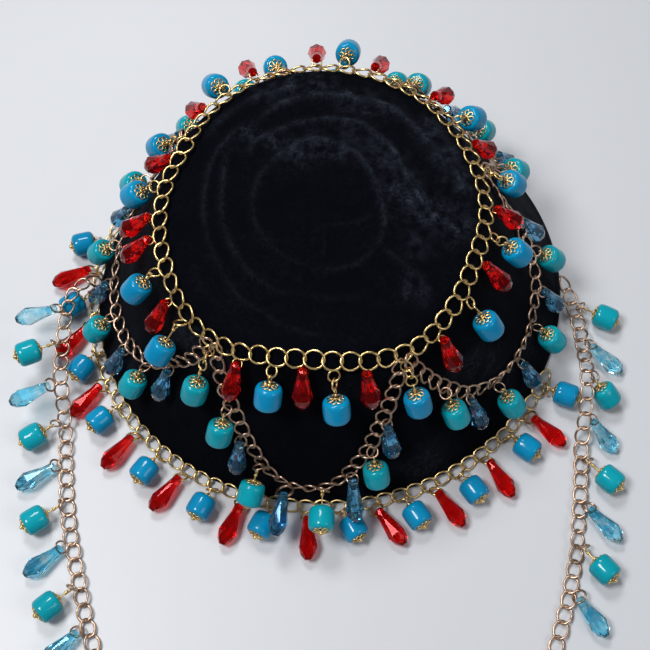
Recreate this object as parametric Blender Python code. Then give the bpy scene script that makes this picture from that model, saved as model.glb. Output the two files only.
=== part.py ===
"""A black velvet fez with a spiral rib on its crown, hung all over with chains of beads and drops.

The hat stands on its rim at z = 0, with the head hollow open below. The origin is on the
surface it stands on, in the middle of the rim oval. The front of the hat faces -Y. Units are metres.
"""

from math import asin, atan2, ceil, cos, hypot, pi, radians, sin, tan

import bpy
import numpy as np

MM = 0.001

# The hat's body. Each oval is a pair of half widths, across and front to back.
HEIGHT = 67 * MM
RIM_OVAL = (94 * MM, 88 * MM)
RIM_TURN = radians(20)
CROWN_OVAL = (57 * MM, 59 * MM)
CROWN_CENTRE = (-3.3 * MM, 1.0 * MM)
VELVET = 2.0 * MM
HEM_WIDTH = 3.0 * MM
HEM_HEIGHT = 4.0 * MM
EDGE_RADIUS = 8.0 * MM
SEAM_DROP = 5.5 * MM
GAP = 0.3 * MM
SEGMENTS = 36

# The spiral rib on the crown.
RIB_CENTRE = (-5.0 * MM, 7.0 * MM)
RIB_START = 20.0 * MM
RIB_PITCH = 8.8 * MM
RIB_WIDTH = 5.5 * MM
RIB_HEIGHT = 2.0 * MM
CROWN_RINGS = 10

# The chains stand here as tubes, and their beads and drops are fused to them.
CROWN_TUBE = 2.5 * MM
CHAIN_TUBE = 2.2 * MM
TUBE_STEP = 14.0 * MM

# A barrel bead on its pin, and a cut drop on its ring. Distances run from the chain's middle.
BARREL_RADIUS = 4.75 * MM
BARREL_LENGTH = 8.4 * MM
BARREL_TIP = 1.6 * MM
BARREL_SIDES = 10
DROP_RADIUS = 3.6 * MM
DROP_NECK = 1.9 * MM
DROP_TOP = 3.8 * MM
DROP_WIDEST = 0.7
DROP_LENGTH = 16.2 * MM
DROP_SIDES = 8
PIN_RADIUS = 0.8 * MM
LOOP_RISE = 1.2 * MM

# How far the barrel's near end lies from its chain.
SWAG_STEM = 8.6 * MM
RIM_STEM = 5.8 * MM
CHIN_STEM = 8.8 * MM

# The charms of the crown chain. Each drop has its angle in degrees counter-clockwise from the
# right, and how many degrees it stands out from the band. Each barrel has its stem in
# millimetres between the two. The longest stems hang between the ends of two swags.
CROWN_DROPS = ((183, 13), (191, 12), (213, 5), (243.5, 8), (264, 0), (283.5, 0), (310, 3), (338.5, 4),
               (360, 6), (386, 2), (409, 12), (432, 14), (452, 22), (474, 20), (496, 5), (520, 3))
CROWN_BARRELS = ((202.5, 11, 8), (221, 12, 14), (233, 18.5, 0), (254.5, 11, 0), (273.5, 15, 0), (296, 17, 0),
                 (325, 14, 0), (350, 14, 2), (375, 18.5, 0), (397.5, 11, 5), (420, 18.5, 0),
                 (442.5, 11, 18), (465, 18.5, 6), (485.5, 11, 10), (510, 21, 0), (531, 13, 3))

# How far the crown chain lies below the middle of the edge: angle, and drop in millimetres.
CROWN_CHAIN_SAG = ((0, 0.5), (20, 0.0), (40, 0.4), (60, 0.2), (80, 0.6), (100, 1.0), (120, 0.8),
                   (135, -0.4), (156, -2.2), (172, -0.8), (190, 0.5), (204, 1.2), (214, 2.6), (223, 3.8),
                   (232, 4.2), (239, 3.0), (246, 1.2), (256, -0.5), (268, -1.4), (280, -0.1),
                   (290, 1.7), (296, 2.9), (303, 2.8), (310, 1.8), (322, 0.4), (333, -0.9), (345, -0.3))

# The rim chain lies in the corner between the band and the surface, round the front only.
# Its charms point outward, each turned by its own lean in degrees.
RIM_CHAIN_OUT = 1.8 * MM
RIM_CHAIN_Z = 3.4 * MM
RIM_CHAIN_ENDS = (162, 337)
RIM_FIRST_ANGLE = 167
RIM_CHARM_STEP = 7.5
RIM_LEANS = (30, 30, 34, 38, 38, 26, 10, 10, 8, -4, 0, -3, -16, 6, 28, 28, 16, 12, 2, -8, 4, -8, 6)

# Each swag's route on the band: angle in degrees, drop below the crown edge in millimetres.
# The three at the back are alike, and their angles count from the fork where they start.
BACK_ROUTE = ((2.5, 8), (4.3, 14), (6.8, 20), (10, 27), (15, 35), (22.5, 39), (30, 35), (35, 27),
              (38.2, 20), (40.7, 14), (42.5, 8))
SWAG_ROUTES = {
    "swag_front": ((235.5, 9.5), (237.3, 15), (239.8, 21), (243, 28), (249, 43), (256, 57), (264, 62),
                   (272, 58), (280, 44), (286.3, 28), (289.2, 21), (291.7, 14.5), (293.5, 9)),
    "swag_right": ((298.5, 9), (300.3, 14.5), (302.8, 21), (306, 28), (313, 40), (325, 48.5), (338, 50),
                   (352, 47), (361, 38), (365.5, 28), (368.2, 20), (370.7, 14), (372.5, 8)),
    "swag_back_right": tuple((375 + turn, drop) for turn, drop in BACK_ROUTE),
    "swag_back": tuple((420 + turn, drop) for turn, drop in BACK_ROUTE),
    "swag_back_left": tuple((465 + turn, drop) for turn, drop in BACK_ROUTE),
    "swag_left": ((512.5, 8), (514.3, 14), (516.8, 20), (520, 28), (527, 41), (537, 48), (550, 50),
                  (562, 48.5), (573, 41), (581, 29), (586.2, 21), (588.7, 15), (590.5, 9.5)),
}
SWAG_CHARM_STEP = 15.0 * MM
SWAG_FIRST_CHARM = 19.0 * MM
OVER_RIM_START = 22.5 * MM
RIM_CHARMS_TOP = 10.4 * MM

# The chin chain's route over the surface, from the left of the rim round to the right, in millimetres.
CHIN_ROUTE = ((-92.6, 0, 8.6), (-97, -1.5, 12), (-102, -7, 13), (-103.7, -16, 13), (-104, -28, 13),
              (-103.8, -40, 13), (-103, -50, 9), (-102, -60, 4), (-101.3, -70, 2.6), (-99.5, -84, 2.6),
              (-96.5, -101, 2.6), (-92, -118, 2.6), (-86, -138, 2.6), (-77, -157, 2.6), (-64, -175, 2.6),
              (-46, -190, 2.6), (-24, -199, 2.6), (-2, -202, 2.6), (20, -199, 2.6), (42, -190, 2.6),
              (60, -175, 2.6), (73, -157, 2.6), (81, -138, 2.6), (86.5, -122, 2.6), (90.5, -106, 2.6),
              (93, -90, 2.6), (94.8, -76, 2.6), (95.5, -67, 4), (96.5, -58, 9), (97.5, -48, 13),
              (98.5, -38, 12), (99, -27, 7), (98.8, -16, 4), (97, -7, 4.5), (94.5, -1, 6.5),
              (92.6, 2, 8.6))

# The charms of each leg of the chin chain, counted from its end at the rim: the first one's
# distance and their step in millimetres, their kinds, the surface under the raised ones, and
# how many degrees they are swept towards the front.
CHIN_LEGS = {
    "left": (19.5, 15.6, ("drop", "barrel") * 4 + ("drop",), RIM_CHARMS_TOP, 25),
    "right": (12.6, 16.8, ("barrel", "drop") * 4, 0.0, -40),
}

VELVET_BLACK = (0.006, 0.006, 0.009)
GOLD = (0.72, 0.52, 0.20)
ROSE_GOLD = (0.56, 0.36, 0.26)


def oval(angle, half_widths, turn=0.0):
    """Radius of an oval in the direction of an angle in radians."""
    return 1.0 / hypot(cos(angle - turn) / half_widths[0], sin(angle - turn) / half_widths[1])


def unit(vector):
    """The vector at length one."""
    return vector / np.linalg.norm(vector)


def rim_point(angle, outward=0.0, z=0.0):
    """A point beside the foot of the band. The angle is in degrees."""
    turn = radians(angle)
    radius = oval(turn, RIM_OVAL, RIM_TURN) + outward
    return np.array((radius * cos(turn), radius * sin(turn), z))


class Edge:
    """The hat's outer skin in one direction: flat crown, rounded edge, then the straight band."""

    def __init__(self, angle):
        turn = radians(angle)
        out = np.array((cos(turn), sin(turn), 0.0))
        self.corner = np.array((*CROWN_CENTRE, HEIGHT)) + out * oval(turn, CROWN_OVAL)
        foot = rim_point(angle)
        self.inward = -out
        self.down = unit(foot - self.corner)
        half = 0.5 * np.arccos(np.dot(self.inward, self.down))
        self.middle = -unit(self.inward + self.down)
        self.centre = self.corner - self.middle * EDGE_RADIUS / sin(half)
        self.setback = EDGE_RADIUS / tan(half)
        self.reach = EDGE_RADIUS * (pi / 2 - half)
        self.foot_drop = np.linalg.norm(foot - self.corner) - self.setback + self.reach

    def point(self, drop, lift=0.0):
        """The point at a distance below the middle of the edge, lifted off the skin."""
        across = unit(self.down - self.inward)
        turn = np.clip(drop, -self.reach, self.reach) / EDGE_RADIUS
        normal = self.middle * cos(turn) + across * sin(turn)
        point = self.centre + normal * EDGE_RADIUS
        if drop < -self.reach:
            point = point + self.inward * (-drop - self.reach)
        if drop > self.reach:
            point = point + self.down * (drop - self.reach)
        return point + normal * lift


def skin(angle, drop, lift=0.0):
    """A point on the hat's skin or above it."""
    return Edge(angle).point(drop, lift)


def rib_height(x, y):
    """Height of the spiral rib above the crown."""
    dx, dy = x - RIB_CENTRE[0], y - RIB_CENTRE[1]
    turns = (hypot(dx, dy) - RIB_START) / RIB_PITCH - (atan2(dy, dx) - pi / 2) / (2 * pi)
    if turns < -0.5:
        return 0.0
    distance = abs(turns - round(turns)) * RIB_PITCH
    return RIB_HEIGHT * max(0.0, cos(pi * distance / RIB_WIDTH)) if distance < RIB_WIDTH / 2 else 0.0


def new_object(name, vertices, faces, smooth_angle=40):
    """A mesh object from points and faces, shaded smooth."""
    mesh = bpy.data.meshes.new(name)
    mesh.from_pydata([tuple(point) for point in vertices], [], faces)
    mesh.shade_smooth()
    mesh.set_sharp_from_angle(angle=radians(smooth_angle))
    piece = bpy.data.objects.new(name, mesh)
    bpy.context.collection.objects.link(piece)
    return piece


def finish(piece, name, colour, roughness, metallic=0.0):
    """Give a piece its own plain material."""
    material = bpy.data.materials.new(name)
    material.use_nodes = True
    shader = material.node_tree.nodes["Principled BSDF"]
    shader.inputs["Base Color"].default_value = (*colour, 1.0)
    shader.inputs["Roughness"].default_value = roughness
    shader.inputs["Metallic"].default_value = metallic
    piece.data.materials.append(material)


def ring_faces(rows, count, closed):
    """Quads between rows of equal length, each row running once round."""
    faces = []
    for row in range(rows if closed else rows - 1):
        low, high = row * count, (row + 1) % rows * count
        for step in range(count):
            after = (step + 1) % count
            faces.append((low + step, low + after, high + after, high + step))
    return faces


def make_crown_top():
    """The velvet disc, its spiral rib and its rounded edge."""
    edges = [Edge(360 * step / SEGMENTS) for step in range(SEGMENTS)]
    flat = -edges[0].reach
    rows = [[edge.point(SEAM_DROP - GAP, -VELVET) for edge in edges],
            [edge.point(SEAM_DROP - GAP) for edge in edges],
            [edge.point(0.0) for edge in edges]]
    for ring in range(CROWN_RINGS, 0, -1):
        row = []
        for edge in edges:
            start = edge.point(flat)
            x, y = (start[:2] - CROWN_CENTRE) * ring / CROWN_RINGS + CROWN_CENTRE
            rib = rib_height(x, y) if ring < CROWN_RINGS else 0.0
            row.append(np.array((x, y, HEIGHT + rib)))
        rows.append(row)
    vertices = [point for row in rows for point in row]
    faces = ring_faces(len(rows), SEGMENTS, closed=False)
    top = len(vertices)
    vertices.append(np.array((*CROWN_CENTRE, HEIGHT)))
    last = top - SEGMENTS
    faces += [(last + step, last + (step + 1) % SEGMENTS, top) for step in range(SEGMENTS)]
    inner = len(vertices)
    for drop in (0.0, flat):
        vertices += [edge.point(drop, -VELVET) for edge in edges]
    below = len(vertices)
    vertices.append(np.array((*CROWN_CENTRE, HEIGHT - VELVET)))
    for step in range(SEGMENTS):
        after = (step + 1) % SEGMENTS
        faces.append((after, step, inner + step, inner + after))
        faces.append((inner + after, inner + step, inner + SEGMENTS + step, inner + SEGMENTS + after))
        faces.append((inner + SEGMENTS + after, inner + SEGMENTS + step, below))
    piece = new_object("crown_top", vertices, faces)
    finish(piece, "crown_velvet", VELVET_BLACK, 0.95)


def make_side_wall():
    """The velvet band, from the seam under the crown's edge down to the turned hem."""
    sections = []
    for step in range(SEGMENTS):
        angle = 360 * step / SEGMENTS
        edge = Edge(angle)
        hem = edge.foot_drop - HEM_HEIGHT
        sections.append((edge.point(SEAM_DROP, -VELVET), edge.point(hem, -VELVET),
                         rim_point(angle, -HEM_WIDTH), rim_point(angle, -0.4 * MM),
                         rim_point(angle, -0.2 * MM, 1.2 * MM), edge.point(hem),
                         edge.point(SEAM_DROP)))
    rows = list(zip(*sections))
    vertices = [point for row in rows for point in row]
    piece = new_object("side_wall", vertices, ring_faces(len(rows), SEGMENTS, closed=True))
    finish(piece, "band_velvet", VELVET_BLACK, 0.95)


def smooth_route(points, step, closed=False):
    """Points at even distances along a smooth curve through the route's own points."""
    points = np.array(points, dtype=float)
    if closed:
        knots = np.vstack((points[-1], points, points[:2]))
    else:
        knots = np.vstack((2 * points[0] - points[1], points, 2 * points[-1] - points[-2]))
    fine = []
    for a, b, c, d in zip(knots, knots[1:], knots[2:], knots[3:]):
        for t in np.linspace(0.0, 1.0, 12, endpoint=False):
            bend = (2 * a - 5 * b + 4 * c - d) * t * t + (3 * b - a - 3 * c + d) * t ** 3
            fine.append(0.5 * (2 * b + (c - a) * t + bend))
    fine = np.array(fine + [knots[-2]])
    along = np.concatenate(([0.0], np.cumsum(np.linalg.norm(np.diff(fine, axis=0), axis=1))))
    count = max(2, ceil(along[-1] / step))
    stations = np.linspace(0.0, along[-1], count + 1)
    route = np.column_stack([np.interp(stations, along, fine[:, axis]) for axis in range(3)])
    return route[:-1] if closed else route


def make_tube(name, route, radius, closed):
    """A chain's plain tube as a mesh object."""
    curve = bpy.data.curves.new(name, "CURVE")
    curve.dimensions = "3D"
    curve.bevel_depth = radius
    curve.bevel_resolution = 2
    curve.use_fill_caps = not closed
    spline = curve.splines.new("POLY")
    spline.points.add(len(route) - 1)
    spline.points.foreach_set("co", np.column_stack((route, np.ones(len(route)))).ravel())
    spline.use_cyclic_u = closed
    guide = bpy.data.objects.new(name + "_route", curve)
    bpy.context.collection.objects.link(guide)
    bpy.context.view_layer.update()
    mesh = bpy.data.meshes.new_from_object(guide)
    bpy.data.objects.remove(guide)
    mesh.shade_smooth()
    tube = bpy.data.objects.new(name, mesh)
    bpy.context.collection.objects.link(tube)
    return tube


def turned(start, direction, profile, sides):
    """Points and faces of a turned piece: a closed tip, rings, then a pin of half as many sides.

    The profile lists distance and radius from the tip ring to the ring next to the pin.
    """
    across = unit(np.cross(direction, (0.0, 0.0, 1.0) if abs(direction[2]) < 0.9 else (1.0, 0.0, 0.0)))
    over = np.cross(direction, across)

    def ring(distance, radius, count):
        centre = start + direction * distance
        angles = [2 * pi * step / count for step in range(count)]
        return [centre + radius * (cos(turn) * across + sin(turn) * over) for turn in angles]

    (tip, _), *rings = profile
    vertices = [start + direction * tip]
    for distance, radius in rings:
        vertices += ring(distance, radius, sides)
    faces = [(0, 1 + (step + 1) % sides, 1 + step) for step in range(sides)]
    for row in range(len(rings) - 1):
        low, high = 1 + row * sides, 1 + (row + 1) * sides
        for step in range(sides):
            after = (step + 1) % sides
            faces.append((low + step, low + after, high + after, high + step))
    last = 1 + (len(rings) - 1) * sides
    half = sides // 2
    near, far = len(vertices), len(vertices) + half
    vertices += ring(rings[-1][0] - 0.7 * MM, PIN_RADIUS, half)
    vertices += ring(0.0, PIN_RADIUS, half)
    for step in range(half):
        after = (step + 1) % half
        faces.append((last + 2 * step, last + 2 * step + 1, near + step))
        faces.append((last + 2 * step + 1, last + (2 * step + 2) % sides, near + after, near + step))
        faces.append((near + step, near + after, far + after, far + step))
    faces.append(tuple(far + step for step in range(half)))
    return vertices, faces


def barrel(start, direction, stem):
    """A barrel bead with its filigree caps as shallow cones, hung on a pin."""
    profile = ((stem + BARREL_LENGTH + BARREL_TIP, 0.0), (stem + BARREL_LENGTH, BARREL_RADIUS),
               (stem, BARREL_RADIUS))
    return turned(start, direction, profile, BARREL_SIDES)


def drop(start, direction, stem):
    """A cut drop: a pointed end, long facets and a small flat table round its ring."""
    profile = ((DROP_TOP + DROP_LENGTH, 0.0), (DROP_TOP + DROP_LENGTH * DROP_WIDEST, DROP_RADIUS),
               (DROP_TOP, DROP_NECK))
    return turned(start, direction, profile, DROP_SIDES)


CHARMS = {"drop": drop, "barrel": barrel}


def wide_places(kind, stem):
    """Where a charm's outline turns: distance from the chain, and radius."""
    if kind == "barrel":
        return (stem, BARREL_RADIUS), (stem + BARREL_LENGTH, BARREL_RADIUS)
    widest = DROP_TOP + DROP_LENGTH * DROP_WIDEST
    return (DROP_TOP, DROP_NECK), (widest, DROP_RADIUS), (DROP_TOP + DROP_LENGTH, 0.0)


def hung_on_skin(kind, angle, drop_at, tube, stem, stand=0.0):
    """A charm that lies down the band from a chain on the skin, or stands out from it by an angle."""
    start = skin(angle, drop_at, tube + GAP + LOOP_RISE)
    reach, radius = wide_places(kind, stem)[0 if kind == "barrel" else 1]
    target = skin(angle, drop_at + reach, radius + 2 * GAP + reach * tan(radians(stand)))
    return kind, start, unit(target - start), stem


def laid_out(kind, chain, out, floor, stem):
    """A charm that lies outward from a chain on a floor, as low as its wide places let it."""
    start = chain + np.array((0.0, 0.0, LOOP_RISE))
    room = start[2] - floor - GAP
    fall = min(asin(min(1.0, room / hypot(reach, radius))) - atan2(radius, reach)
               for reach, radius in wide_places(kind, stem))
    return kind, start, out * cos(fall) - np.array((0.0, 0.0, sin(fall))), stem


def make_chain(name, route, radius, closed, charms, colour):
    """A chain's tube with its charms fused to it. A charm is its kind, start, direction and stem."""
    tube = make_tube(name, route, radius, closed)
    vertices, faces = [], []
    for kind, start, direction, stem in charms:
        points, sides = CHARMS[kind](start, direction, stem)
        faces += [tuple(index + len(vertices) for index in face) for face in sides]
        vertices += points
    stones = new_object(name + "_charms", vertices, faces)
    stones.hide_render = True
    stones.display_type = "WIRE"
    union = tube.modifiers.new("charms", "BOOLEAN")
    union.operation = "UNION"
    union.object = stones
    finish(tube, name + "_metal", colour, 0.3, 1.0)


def make_crown_chain():
    """The chain round the crown's edge, with charms that hang down the band."""
    angles, sags = zip(*CROWN_CHAIN_SAG)

    def drop_at(angle):
        return np.interp(angle, angles, sags, period=360) * MM

    route = smooth_route([skin(angle, drop_at(angle), CROWN_TUBE + GAP) for angle in range(0, 360, 12)],
                         TUBE_STEP, closed=True)
    charms = [hung_on_skin("drop", angle, drop_at(angle), CROWN_TUBE, 0.0, stand)
              for angle, stand in CROWN_DROPS]
    charms += [hung_on_skin("barrel", angle, drop_at(angle), CROWN_TUBE, stem * MM, stand)
               for angle, stem, stand in CROWN_BARRELS]
    make_chain("crown_chain", route, CROWN_TUBE, True, charms, GOLD)


def make_rim_chain():
    """The chain round the foot of the band, with charms that lie outward on the surface."""
    places = np.linspace(*RIM_CHAIN_ENDS, 24)
    route = smooth_route([rim_point(angle, RIM_CHAIN_OUT, RIM_CHAIN_Z) for angle in places], TUBE_STEP)
    charms = []
    for index, lean in enumerate(RIM_LEANS):
        kind = ("barrel", "drop")[index % 2]
        angle = RIM_FIRST_ANGLE + RIM_CHARM_STEP * index
        turn = radians(angle + lean)
        out = np.array((cos(turn), sin(turn), 0.0))
        charms.append(laid_out(kind, rim_point(angle, RIM_CHAIN_OUT, RIM_CHAIN_Z), out, 0.0, RIM_STEM))
    make_chain("rim_chain", route, CHAIN_TUBE, False, charms, GOLD)


def track_of(stops):
    """The angle and drop at each millimetre along a swag."""
    stops = np.array(stops, dtype=float)
    places = np.array([skin(angle, drop * MM) for angle, drop in stops])
    along = np.concatenate(([0.0], np.cumsum(np.linalg.norm(np.diff(places, axis=0), axis=1))))
    stations = np.arange(0.0, along[-1], 1.0 * MM)
    return np.column_stack([np.interp(stations, along, stops[:, side]) for side in (0, 1)])


def make_swag(name, stops):
    """A chain draped on the band between two places of the crown chain."""
    route = smooth_route([skin(angle, drop * MM, CHAIN_TUBE + GAP) for angle, drop in stops], TUBE_STEP)
    track = track_of(stops)
    span = len(track) - 1 - 2 * SWAG_FIRST_CHARM / MM
    count = round(span * MM / SWAG_CHARM_STEP) + 1
    charms = []
    for index in range(count):
        angle, drop_at = track[round(SWAG_FIRST_CHARM / MM + span * index / (count - 1))]
        kind = ("barrel", "drop")[index % 2]
        chain = skin(angle, drop_at * MM, CHAIN_TUBE + GAP)
        if chain[2] > OVER_RIM_START:
            charms.append(hung_on_skin(kind, angle, drop_at * MM, CHAIN_TUBE, SWAG_STEM))
        else:
            out = np.array((cos(radians(angle)), sin(radians(angle)), 0.0))
            charms.append(laid_out(kind, chain, out, RIM_CHARMS_TOP, SWAG_STEM))
    make_chain(name, route, CHAIN_TUBE, False, charms, ROSE_GOLD)


def make_chin_chain():
    """The chain laid on the surface in front of the hat, with charms on the outer side of its legs."""
    points = np.array(CHIN_ROUTE) * MM
    fine = smooth_route(points, 1.0 * MM)
    charms = []
    for leg, (first, step, kinds, raised_floor, sweep) in CHIN_LEGS.items():
        for index, kind in enumerate(kinds):
            place = round(first + step * index)
            place = place if leg == "left" else len(fine) - 1 - place
            chain = fine[place]
            along = unit((fine[place + 4] - fine[place - 4]) * (1.0, 1.0, 0.0))
            out = np.cross(along, (0.0, 0.0, 1.0))
            swept = out * cos(radians(sweep)) + along * sin(radians(sweep))
            floor = raised_floor if chain[2] > RIM_CHARMS_TOP else 0.0
            charms.append(laid_out(kind, chain, swept, floor, CHIN_STEM))
    make_chain("chin_chain", smooth_route(points, TUBE_STEP), CHAIN_TUBE, False, charms, ROSE_GOLD)


def main():
    """Model the hat, then its chains."""
    for piece in list(bpy.data.objects):
        bpy.data.objects.remove(piece)
    make_crown_top()
    make_side_wall()
    make_crown_chain()
    make_rim_chain()
    for name, stops in SWAG_ROUTES.items():
        make_swag(name, stops)
    make_chin_chain()


main()
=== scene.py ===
"""Dress the velvet fez: crushed velvet, chains of linked wire, glass beads and cut drops.

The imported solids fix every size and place. Each visible piece is modelled round them in
metres, in their frame: the hat stands on z = 0 and its front faces -Y.
"""

import logging
import random
from dataclasses import dataclass, field
from enum import Enum
from functools import lru_cache
from math import atan2, ceil, cos, hypot, pi, radians, sin, tan
from typing import Callable, Iterable, Sequence

import bmesh
import bpy
import numpy as np
from mathutils import Matrix, Vector, noise


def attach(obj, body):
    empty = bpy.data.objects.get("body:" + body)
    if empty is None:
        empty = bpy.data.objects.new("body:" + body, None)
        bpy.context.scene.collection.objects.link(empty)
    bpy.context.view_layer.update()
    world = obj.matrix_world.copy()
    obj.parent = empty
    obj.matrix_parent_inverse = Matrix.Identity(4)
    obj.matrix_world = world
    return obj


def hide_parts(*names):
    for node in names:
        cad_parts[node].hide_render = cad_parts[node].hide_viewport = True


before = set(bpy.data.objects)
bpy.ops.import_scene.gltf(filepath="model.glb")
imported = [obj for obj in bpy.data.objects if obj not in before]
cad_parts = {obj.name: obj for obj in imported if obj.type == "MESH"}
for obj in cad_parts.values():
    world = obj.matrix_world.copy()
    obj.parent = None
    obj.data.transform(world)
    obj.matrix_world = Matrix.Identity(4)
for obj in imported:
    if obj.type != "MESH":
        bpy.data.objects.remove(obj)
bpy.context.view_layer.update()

MM = 0.001
BODY = "root"
IMAGE_SIDE = 650
Place = tuple[float, float]
Colour = tuple[float, float, float]
Triple = tuple[float, float, float]

# The gap between neighbouring solids.
GAP = 0.3 * MM

UP = np.array((0.0, 0.0, 1.0))

log = logging.getLogger("fez")


# Directions and lines.


def unit(vector: np.ndarray) -> np.ndarray:
    """The vector at length one."""
    return vector / np.linalg.norm(vector)


def unit_rows(rows: np.ndarray) -> np.ndarray:
    """Each row at length one."""
    return rows / np.maximum(np.linalg.norm(rows, axis=1), 1e-9)[:, None]


def outward(angle: float) -> np.ndarray:
    """The level direction at an angle in degrees."""
    return np.array((cos(radians(angle)), sin(radians(angle)), 0.0))


def turned(x: np.ndarray, y: np.ndarray, angle: float) -> tuple[np.ndarray, np.ndarray]:
    """Two directions turned together, from the first towards the second."""
    return x * cos(angle) + y * sin(angle), y * cos(angle) - x * sin(angle)


def distances_along(points: np.ndarray) -> np.ndarray:
    """The distance of each point from the first, along the line through them."""
    return np.concatenate(([0.0], np.cumsum(np.linalg.norm(np.diff(points, axis=0), axis=1))))


def read_between(stations: float | np.ndarray, along: np.ndarray, table: np.ndarray) -> np.ndarray:
    """A table's columns read at stations between its rows, which stand at distances along."""
    return np.stack([np.interp(stations, along, column) for column in table.T], axis=-1)


# The hat's shape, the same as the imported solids'.


@dataclass(frozen=True)
class Section:
    """The hat's skin in one direction: flat crown, rounded edge, then the straight band."""

    inward: np.ndarray
    down: np.ndarray
    middle: np.ndarray
    centre: np.ndarray
    reach: float
    foot_drop: float
    radius: float

    def point(self, drop: float, lift: float = 0.0) -> np.ndarray:
        """A point on the skin or above it.

        Args:
            drop: Distance below the middle of the crown's edge, along the skin.
            lift: Height above the skin.

        Returns:
            The point.
        """
        normal = self.normal(drop)
        point = self.centre + normal * self.radius
        if drop < -self.reach:
            point = point + self.inward * (-drop - self.reach)
        if drop > self.reach:
            point = point + self.down * (drop - self.reach)
        return point + normal * lift

    def normal(self, drop: float) -> np.ndarray:
        """The direction away from the skin at a distance below the middle of the edge."""
        across = unit(self.down - self.inward)
        turn = np.clip(drop, -self.reach, self.reach) / self.radius
        return self.middle * cos(turn) + across * sin(turn)


@dataclass(frozen=True)
class HatShape:
    """The sizes of the hat's body. Each oval is a pair of half widths."""

    height: float = 67 * MM
    rim_oval: Place = (94 * MM, 88 * MM)
    rim_turn: float = radians(20)
    crown_oval: Place = (57 * MM, 59 * MM)
    crown_centre: Place = (-3.3 * MM, 1.0 * MM)
    edge_radius: float = 8.0 * MM
    velvet: float = 2.0 * MM
    seam_drop: float = 5.5 * MM
    hem_height: float = 4.0 * MM

    def oval_radius(self, turn: float, oval: Place, lean: float = 0.0) -> float:
        """Radius of an oval in the direction of an angle in radians."""
        return 1.0 / hypot(cos(turn - lean) / oval[0], sin(turn - lean) / oval[1])

    def rim_point(self, angle: float, beyond: float = 0.0, z: float = 0.0) -> np.ndarray:
        """A point beside the foot of the band. The angle is in degrees."""
        turn = radians(angle)
        radius = self.oval_radius(turn, self.rim_oval, self.rim_turn) + beyond
        return np.array((radius * cos(turn), radius * sin(turn), z))

    @lru_cache(maxsize=4096)
    def section(self, angle: float) -> Section:
        """The hat's section in the direction of an angle in degrees."""
        out = outward(angle)
        corner = np.array((*self.crown_centre, self.height))
        corner = corner + out * self.oval_radius(radians(angle), self.crown_oval)
        foot = self.rim_point(angle)
        slope = np.linalg.norm(foot - corner)
        down = (foot - corner) / slope
        half = 0.5 * np.arccos(np.dot(-out, down))
        middle = -unit(down - out)
        reach = self.edge_radius * (pi / 2 - half)
        return Section(-out, down, middle, corner - middle * self.edge_radius / sin(half), reach,
                       slope - self.edge_radius / tan(half) + reach, self.edge_radius)

    def sections(self, count: int) -> list[Section]:
        """The hat's sections at even steps all round."""
        return [self.section(360 * step / count) for step in range(count)]

    def skin(self, angle: float, drop: float, lift: float = 0.0) -> np.ndarray:
        """A point on the hat's skin or above it."""
        return self.section(angle).point(drop, lift)

    def normal(self, angle: float, drop: float) -> np.ndarray:
        """The direction away from the hat's skin."""
        return self.section(angle).normal(drop)


HAT = HatShape()


def smooth_line(knots: Sequence[np.ndarray], steps: int, closed: bool) -> np.ndarray:
    """Points on a smooth curve through the knots.

    Args:
        knots: Points of any dimension.
        steps: Number of steps from each knot to the next.
        closed: Whether the curve returns to its first knot.

    Returns:
        One row for each point, the last knot included.
    """
    points = np.array(knots, dtype=float)
    if closed:
        points = np.vstack((points[-1], points, points[:2]))
    else:
        points = np.vstack((2 * points[0] - points[1], points, 2 * points[-1] - points[-2]))
    share = np.linspace(0.0, 1.0, steps, endpoint=False)[:, None]
    rows = []
    for a, b, c, d in zip(points, points[1:], points[2:], points[3:]):
        bend = (2 * a - 5 * b + 4 * c - d) * share**2 + (3 * b - a - 3 * c + d) * share**3
        rows.append(0.5 * (2 * b + (c - a) * share + bend))
    return np.vstack((*rows, points[-2]))


class Route:
    """A chain's line, with the direction away from what it lies on at each place."""

    KNOT_STEPS = 40
    REACH = 0.4 * MM

    def __init__(self, points: Sequence[np.ndarray], normals: Sequence[np.ndarray],
                 closed: bool) -> None:
        """Run a smooth line through points and normals of the same number."""
        self.closed = closed
        self.points = smooth_line(points, self.KNOT_STEPS, closed)
        self.normals = smooth_line(normals, self.KNOT_STEPS, closed)
        self.along = distances_along(self.points)

    @property
    def length(self) -> float:
        """The length of the whole line."""
        return float(self.along[-1])

    def _value(self, rows: np.ndarray, distance: float) -> np.ndarray:
        """One of the line's tables at a distance along it."""
        if self.closed:
            distance = distance % self.length
        return read_between(distance, self.along, rows)

    def point(self, distance: float) -> np.ndarray:
        """The point at a distance along the line."""
        return self._value(self.points, distance)

    def axes(self, distance: float) -> tuple[np.ndarray, np.ndarray, np.ndarray]:
        """The line's own directions at a distance along it.

        Args:
            distance: Distance from the start.

        Returns:
            The directions along the line, across it on its surface, and away from the surface.
        """
        ahead, behind = distance + self.REACH, distance - self.REACH
        if not self.closed:
            ahead, behind = min(ahead, self.length), max(behind, 0.0)
        tangent = unit(self.point(ahead) - self.point(behind))
        away = self._value(self.normals, distance)
        away = unit(away - tangent * np.dot(away, tangent))
        return tangent, np.cross(away, tangent), away


# Shader nodes and finishes.


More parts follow.
